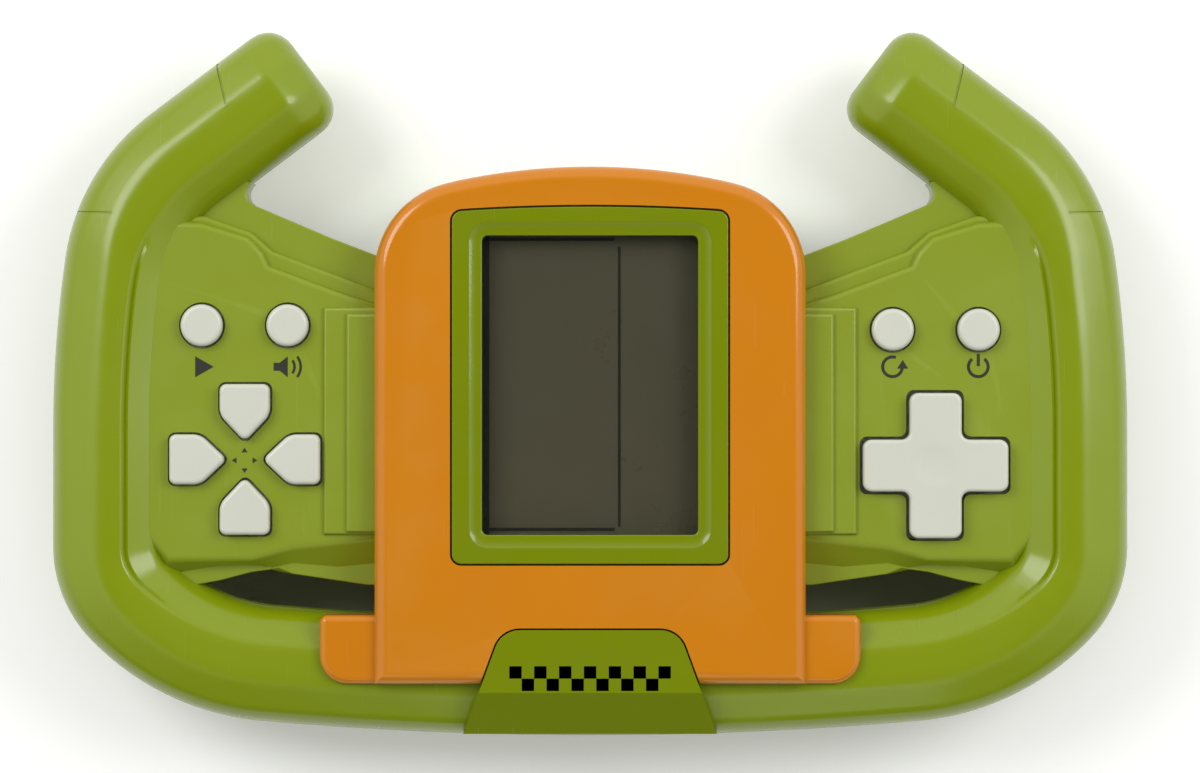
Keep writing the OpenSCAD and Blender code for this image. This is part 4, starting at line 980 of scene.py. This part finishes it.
# plain signs in place of words: start, sound, start again, on and off; four small arrows; a chequered strip on the tab
signs = {"y": 3, "arrows": (-56, -12.17, 1.6), "strip": (-13, -49.2, 13, -45.2), "thick": 0.03}


def makeSigns():
    low, high = wing["platformTop"] - 0.1, wing["platformTop"] + signs["thick"]
    y = signs["y"]
    outlines = []
    x = pad["round"][0][0]
    outlines += [[(x - 1.1, y - 1.7), (x + 1.9, y), (x - 1.1, y + 1.7)]]
    x = pad["round"][1][0]
    outlines += [[(x - 2.3, y - 0.65), (x - 1.3, y - 0.65), (x, y - 1.7), (x, y + 1.7), (x - 1.3, y + 0.65),
            (x - 2.3, y + 0.65)],
                 band((x - 0.6, y), 1.7, 0.4, -38, 38, 10), band((x - 0.6, y), 2.7, 0.4, -38, 38, 12)]
    x = pad["round"][2][0]
    outlines += [band((x, y), 1.6, 0.5, 70, 350), [(x + 0.75, y - 0.3), (x + 2.55, y - 0.3), (x + 1.65, y + 1.1)]]
    x = pad["round"][3][0]
    outlines += [band((x, y), 1.6, 0.5, 128, 412), rectangle(x - 0.25, y + 0.1, x + 0.25, y + 2.1)]
    middleX, middleY, reach = signs["arrows"]
    for turn in range(4):
        c, s = math.cos(math.radians(90 * turn)), math.sin(math.radians(90 * turn))
        outlines.append([(middleX + c * px - s * py, middleY + s * px + c * py) for px,
                py in ((reach - 0.3, -0.5), (reach + 0.45, 0), (reach - 0.3, 0.5))])
    pieces = [slab("sign", outline, low, high) for outline in outlines]
    x0, y0, x1, y1 = signs["strip"]
    step = (y1 - y0) / 2
    columns = round((x1 - x0) / step)
    for i in range(columns):
        below = y0 if i % 2 else y0 + step
        left = x0 + (x1 - x0) * i / columns
        pieces.append(slab("square", rectangle(left, below, left + (x1 - x0) / columns, below + step),
                panel["front"] - 0.1, panel["front"]))
    return joined(pieces, "printed_signs")


# ---- rear case: rim, wing backs, the drafted block with its battery opening, sound holes and screw wells
rear = {
    "wingBack": 8, "wall": 1.8, "edge": 1, "low": -37.5, "draft": 2.2, "bridge": (-34.5, -41.5, 34.5, -34.5),
    "box": (-28.5, -33.99, 28.5, -2.5), "boxWall": 1.5, "boxRoof": 16.45,
    "door": (-29.15, -42.5, 29.15, -1.05), "doorDepth": 1.95, "groove": (-30.75, -42.5, 30.75, -0.05),
    "grooveLow": 0.85, "grooveHigh": 2.05,
    "speaker": (0, 16), "holeSize": 1.6, "pitch": 3.2, "reach": 9.36,
    "screws": [(56.97, 43.55), (67.32, -40.72), (37.6, -8)], "wellSize": 4.8, "wellDepth": 11, "shaft": 2.7,
}


def drafted(name, depth, low, high):  # the block's back, wider towards the joint
    foot, full = blockOutline(rear["low"], rear["draft"] + depth), blockOutline(rear["low"] - rear["draft"], depth)
    return tiered(name, [(foot, low), (full, rear["wingBack"]), (full, high)])


def makeRearCase():
    wells = [(x * sign, y) for x, y in rear["screws"] for sign in (-1, 1)]
    tube = rimHalf("rear_case", False)
    cut(tube, rods(wells[:4], rear["wellSize"], 2, rear["wellDepth"]))
    pieces = [tube]
    wings = slab("wing_back", wing["outline"], rear["wingBack"], rim["split"])
    softenEdges(wings, lambda at, n: at.z < rear["wingBack"] + 0.1, rear["edge"], 4)
    cut(wings, slab("room", wing["room"], rear["wingBack"] + 2, 20))
    pieces += [wings, mirrored(wings, "wing_back_left")]
    x0, y0, x1, y1 = rear["bridge"]
    bridge = slab("bridge", rectangle(x0, y0, x1, y1), 7, rim["split"])
    softenEdges(bridge, lambda at, n: at.z < 7.1, 0.8, 3)
    pieces.append(bridge)
    body = drafted("block", 0, 0, rim["split"])
    softenEdges(body, lambda at, n: at.z < 0.1, rear["edge"], 5)
    cut(body, drafted("room", rear["wall"], rear["wall"], rim["split"] + 2))
    x0, y0, x1, y1 = rear["box"]
    w = rear["boxWall"]
    box = slab("box", rectangle(x0 - w, y0 - w, x1 + w, y1 + w), 0.5, rear["boxRoof"] + 1)
    cut(body, slab("opening", rectangle(x0, y0, x1, y1), -2, 8))
    cut(box, slab("opening", rectangle(x0, y0, x1, y1), -2, rear["boxRoof"]))
    for piece in (body, box):
        cut(piece, slab("door", rectangle(*rear["door"]), -2, rear["doorDepth"]))
        cut(piece, slab("groove", rectangle(*rear["groove"]), rear["grooveLow"], rear["grooveHigh"]))
    sx, sy = rear["speaker"]
    holes = [(sx + rear["pitch"] * (i + j / 2), sy + rear["pitch"] * j * math.sqrt(3) / 2) for i in range(-4,
            5) for j in range(-4, 5)]
    holes = [h for h in holes if math.hypot(h[0] - sx, h[1] - sy) < rear["reach"]]
    cut(body, rods(holes, rear["holeSize"], -2, 5, 24))
    bevelCorners(body, 0.15, 2, 50)
    pieces += [body, box]
    for part in pieces[1:3]:
        cut(part, rods(wells[4:], rear["wellSize"], 2, rear["wellDepth"]))
    posts = rods(wells[:4], 6.2, 7.5, rim["split"])
    low = rods(wells[4:], 6.2, rear["wingBack"] + 0.5, rim["split"])
    for part in (posts, low):
        cut(part, rods(wells, rear["wellSize"], 2, rear["wellDepth"]))
        cut(part, rods(wells, rear["shaft"], 2, 20, 24))
        pieces.append(part)
    return joined(pieces, "rear_case")


# ---- battery door with its finger ribs
door = {"outline": (-29, -37.5, 29, -1.2), "low": 0.3, "top": 1.8, "tongue": 1.6, "tongueLow": 1, "ribs": 5,
        "ribAt": -33.5, "ribStep": 1.6,
        "ribWidth": 0.8, "ribHalf": 9}


def makeDoor():
    x0, y0, x1, y1 = door["outline"]
    piece = slab("battery_door_piece", rectangle(x0, y0, x1, y1), door["low"], door["top"])
    softenEdges(piece, lambda at, n: abs(at.z - 1.05) < 0.3 and at.y < -30, 1.2, 5)
    softenEdges(piece, lambda at, n: at.z < door["low"] + 0.05, 0.35, 3)
    tongues = slab("tongues", rectangle(x0 - door["tongue"], y0 + 0.6, x1 + door["tongue"], y1 + 0.8),
            door["tongueLow"], door["top"] - 0.001)
    cut(piece, tongues, "UNION")
    for i in range(door["ribs"]):
        y = door["ribAt"] + door["ribStep"] * i
        groove = slab("rib", rounded(-door["ribHalf"], y, door["ribHalf"], y + door["ribWidth"], 0.39, 4), -1,
                door["low"] + 0.5)
        cut(piece, groove)
    bevelCorners(piece, 0.1, 2, 60)
    return piece


# ---- case screws, their heads deep in the wells
screw = {"head": 4.4, "size": 2.3, "under": 10.95, "top": 9.45, "end": 19.35, "slot": 0.6}


def makeScrews():
    made = []
    for x, y in rear["screws"]:
        for sign in (-1, 1):
            head = rods([(x * sign, y)], screw["head"], screw["top"], screw["under"], 48, "case_screw")
            softenEdges(head, lambda at, n: at.z < screw["top"] + 0.05, 0.6, 5)
            for wide, high in ((1.3, screw["slot"] / 2), (screw["slot"] / 2, 1.3)):
                cut(head, slab("slot", rectangle(x * sign - wide, y - high, x * sign + wide, y + high), 8,
                        screw["top"] + 0.8))
            shaft = rods([(x * sign, y)], screw["size"], screw["under"] - 0.1, screw["end"] - 0.9, 32)
            editing(shaft)
            pick("faces", lambda at, n: n.z > 0.9)
            bpy.ops.mesh.extrude_region_move(TRANSFORM_OT_translate={"value": (0, 0, 0.9 * mm)})
            bpy.ops.transform.resize(value=(0.4, 0.4, 1), center_override=(x * sign * mm, y * mm, screw["end"] * mm))
            done()
            made += [head, shaft]
    return joined(made, "case_screw_set")


# ---- what lies inside is shown as it was constructed, with its materials
inside = {
    "display_connectors": zebraRubber, "main_board": boardGreen, "game_chip": blackResin, "board_parts": ceramic,
    "left_key_board": boardGreen, "right_key_board": boardGreen,
    "left_ribbon": ribbonGrey, "right_ribbon": ribbonGrey, "speaker": speakerSteel, "speaker_wires": redWire,
    "battery_cells": cellWrap, "battery_springs": springSteel, "battery_plates": plateSteel,
    "board_screws": screwSteel,
}

makeStage()
say("camera, floor and light are set")
finish(makeFrontCase(), None, node="front_shell")
say("front case")
finish(makeCentrePanel(), [orangePlastic], node="centre_panel")
finish(makeBezel(), [trimGreen], node="screen_bezel")
finish(makeTab(), [trimGreen], node="name_tab")
say("centre panel, bezel and tab")
finish(makeDisplay(), None, node="display_glass")
finish(makeLens(), [clearAcrylic], node="screen_lens")
finish(makeSigns(), [blackInk], angle=0)
say("display and print")
for x, y, name in pad["round"]:
    finish(makeRound(x, y, name), [whitePlastic], body=name, node=name)
for turn, name in ((180, "up_key"), (0, "down_key"), (270, "left_key"), (90, "right_key")):
    finish(makeKey(turn, name), [whitePlastic], body=name, node=name)
finish(makeCross(), [whitePlastic], body="cross_pad", node="cross_pad")
for sign, side in ((-1, "left"), (1, "right")):
    finish(makeMat(sign, side + "_mat"), [silicone], node=side + "_keypad")
    for i, (x, y, body) in enumerate(domePlaces(sign)):
        dome = finish(makeDome(x, y, side + "_dome_" + str(i + 1)), [silicone], body=None)
        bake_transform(dome)
say("buttons, keys and rubber mats")
finish(makeRearCase(), [shellGreen], node="rear_shell")
finish(makeDoor(), [shellGreen], body="battery_door", node="battery_door")
finish(makeScrews(), [screwSteel], node="case_screws")
say("rear case, battery door and screws")
for name, material in inside.items():
    nodes[name].data.materials.clear()
    nodes[name].data.materials.append(material)
say("inner parts")
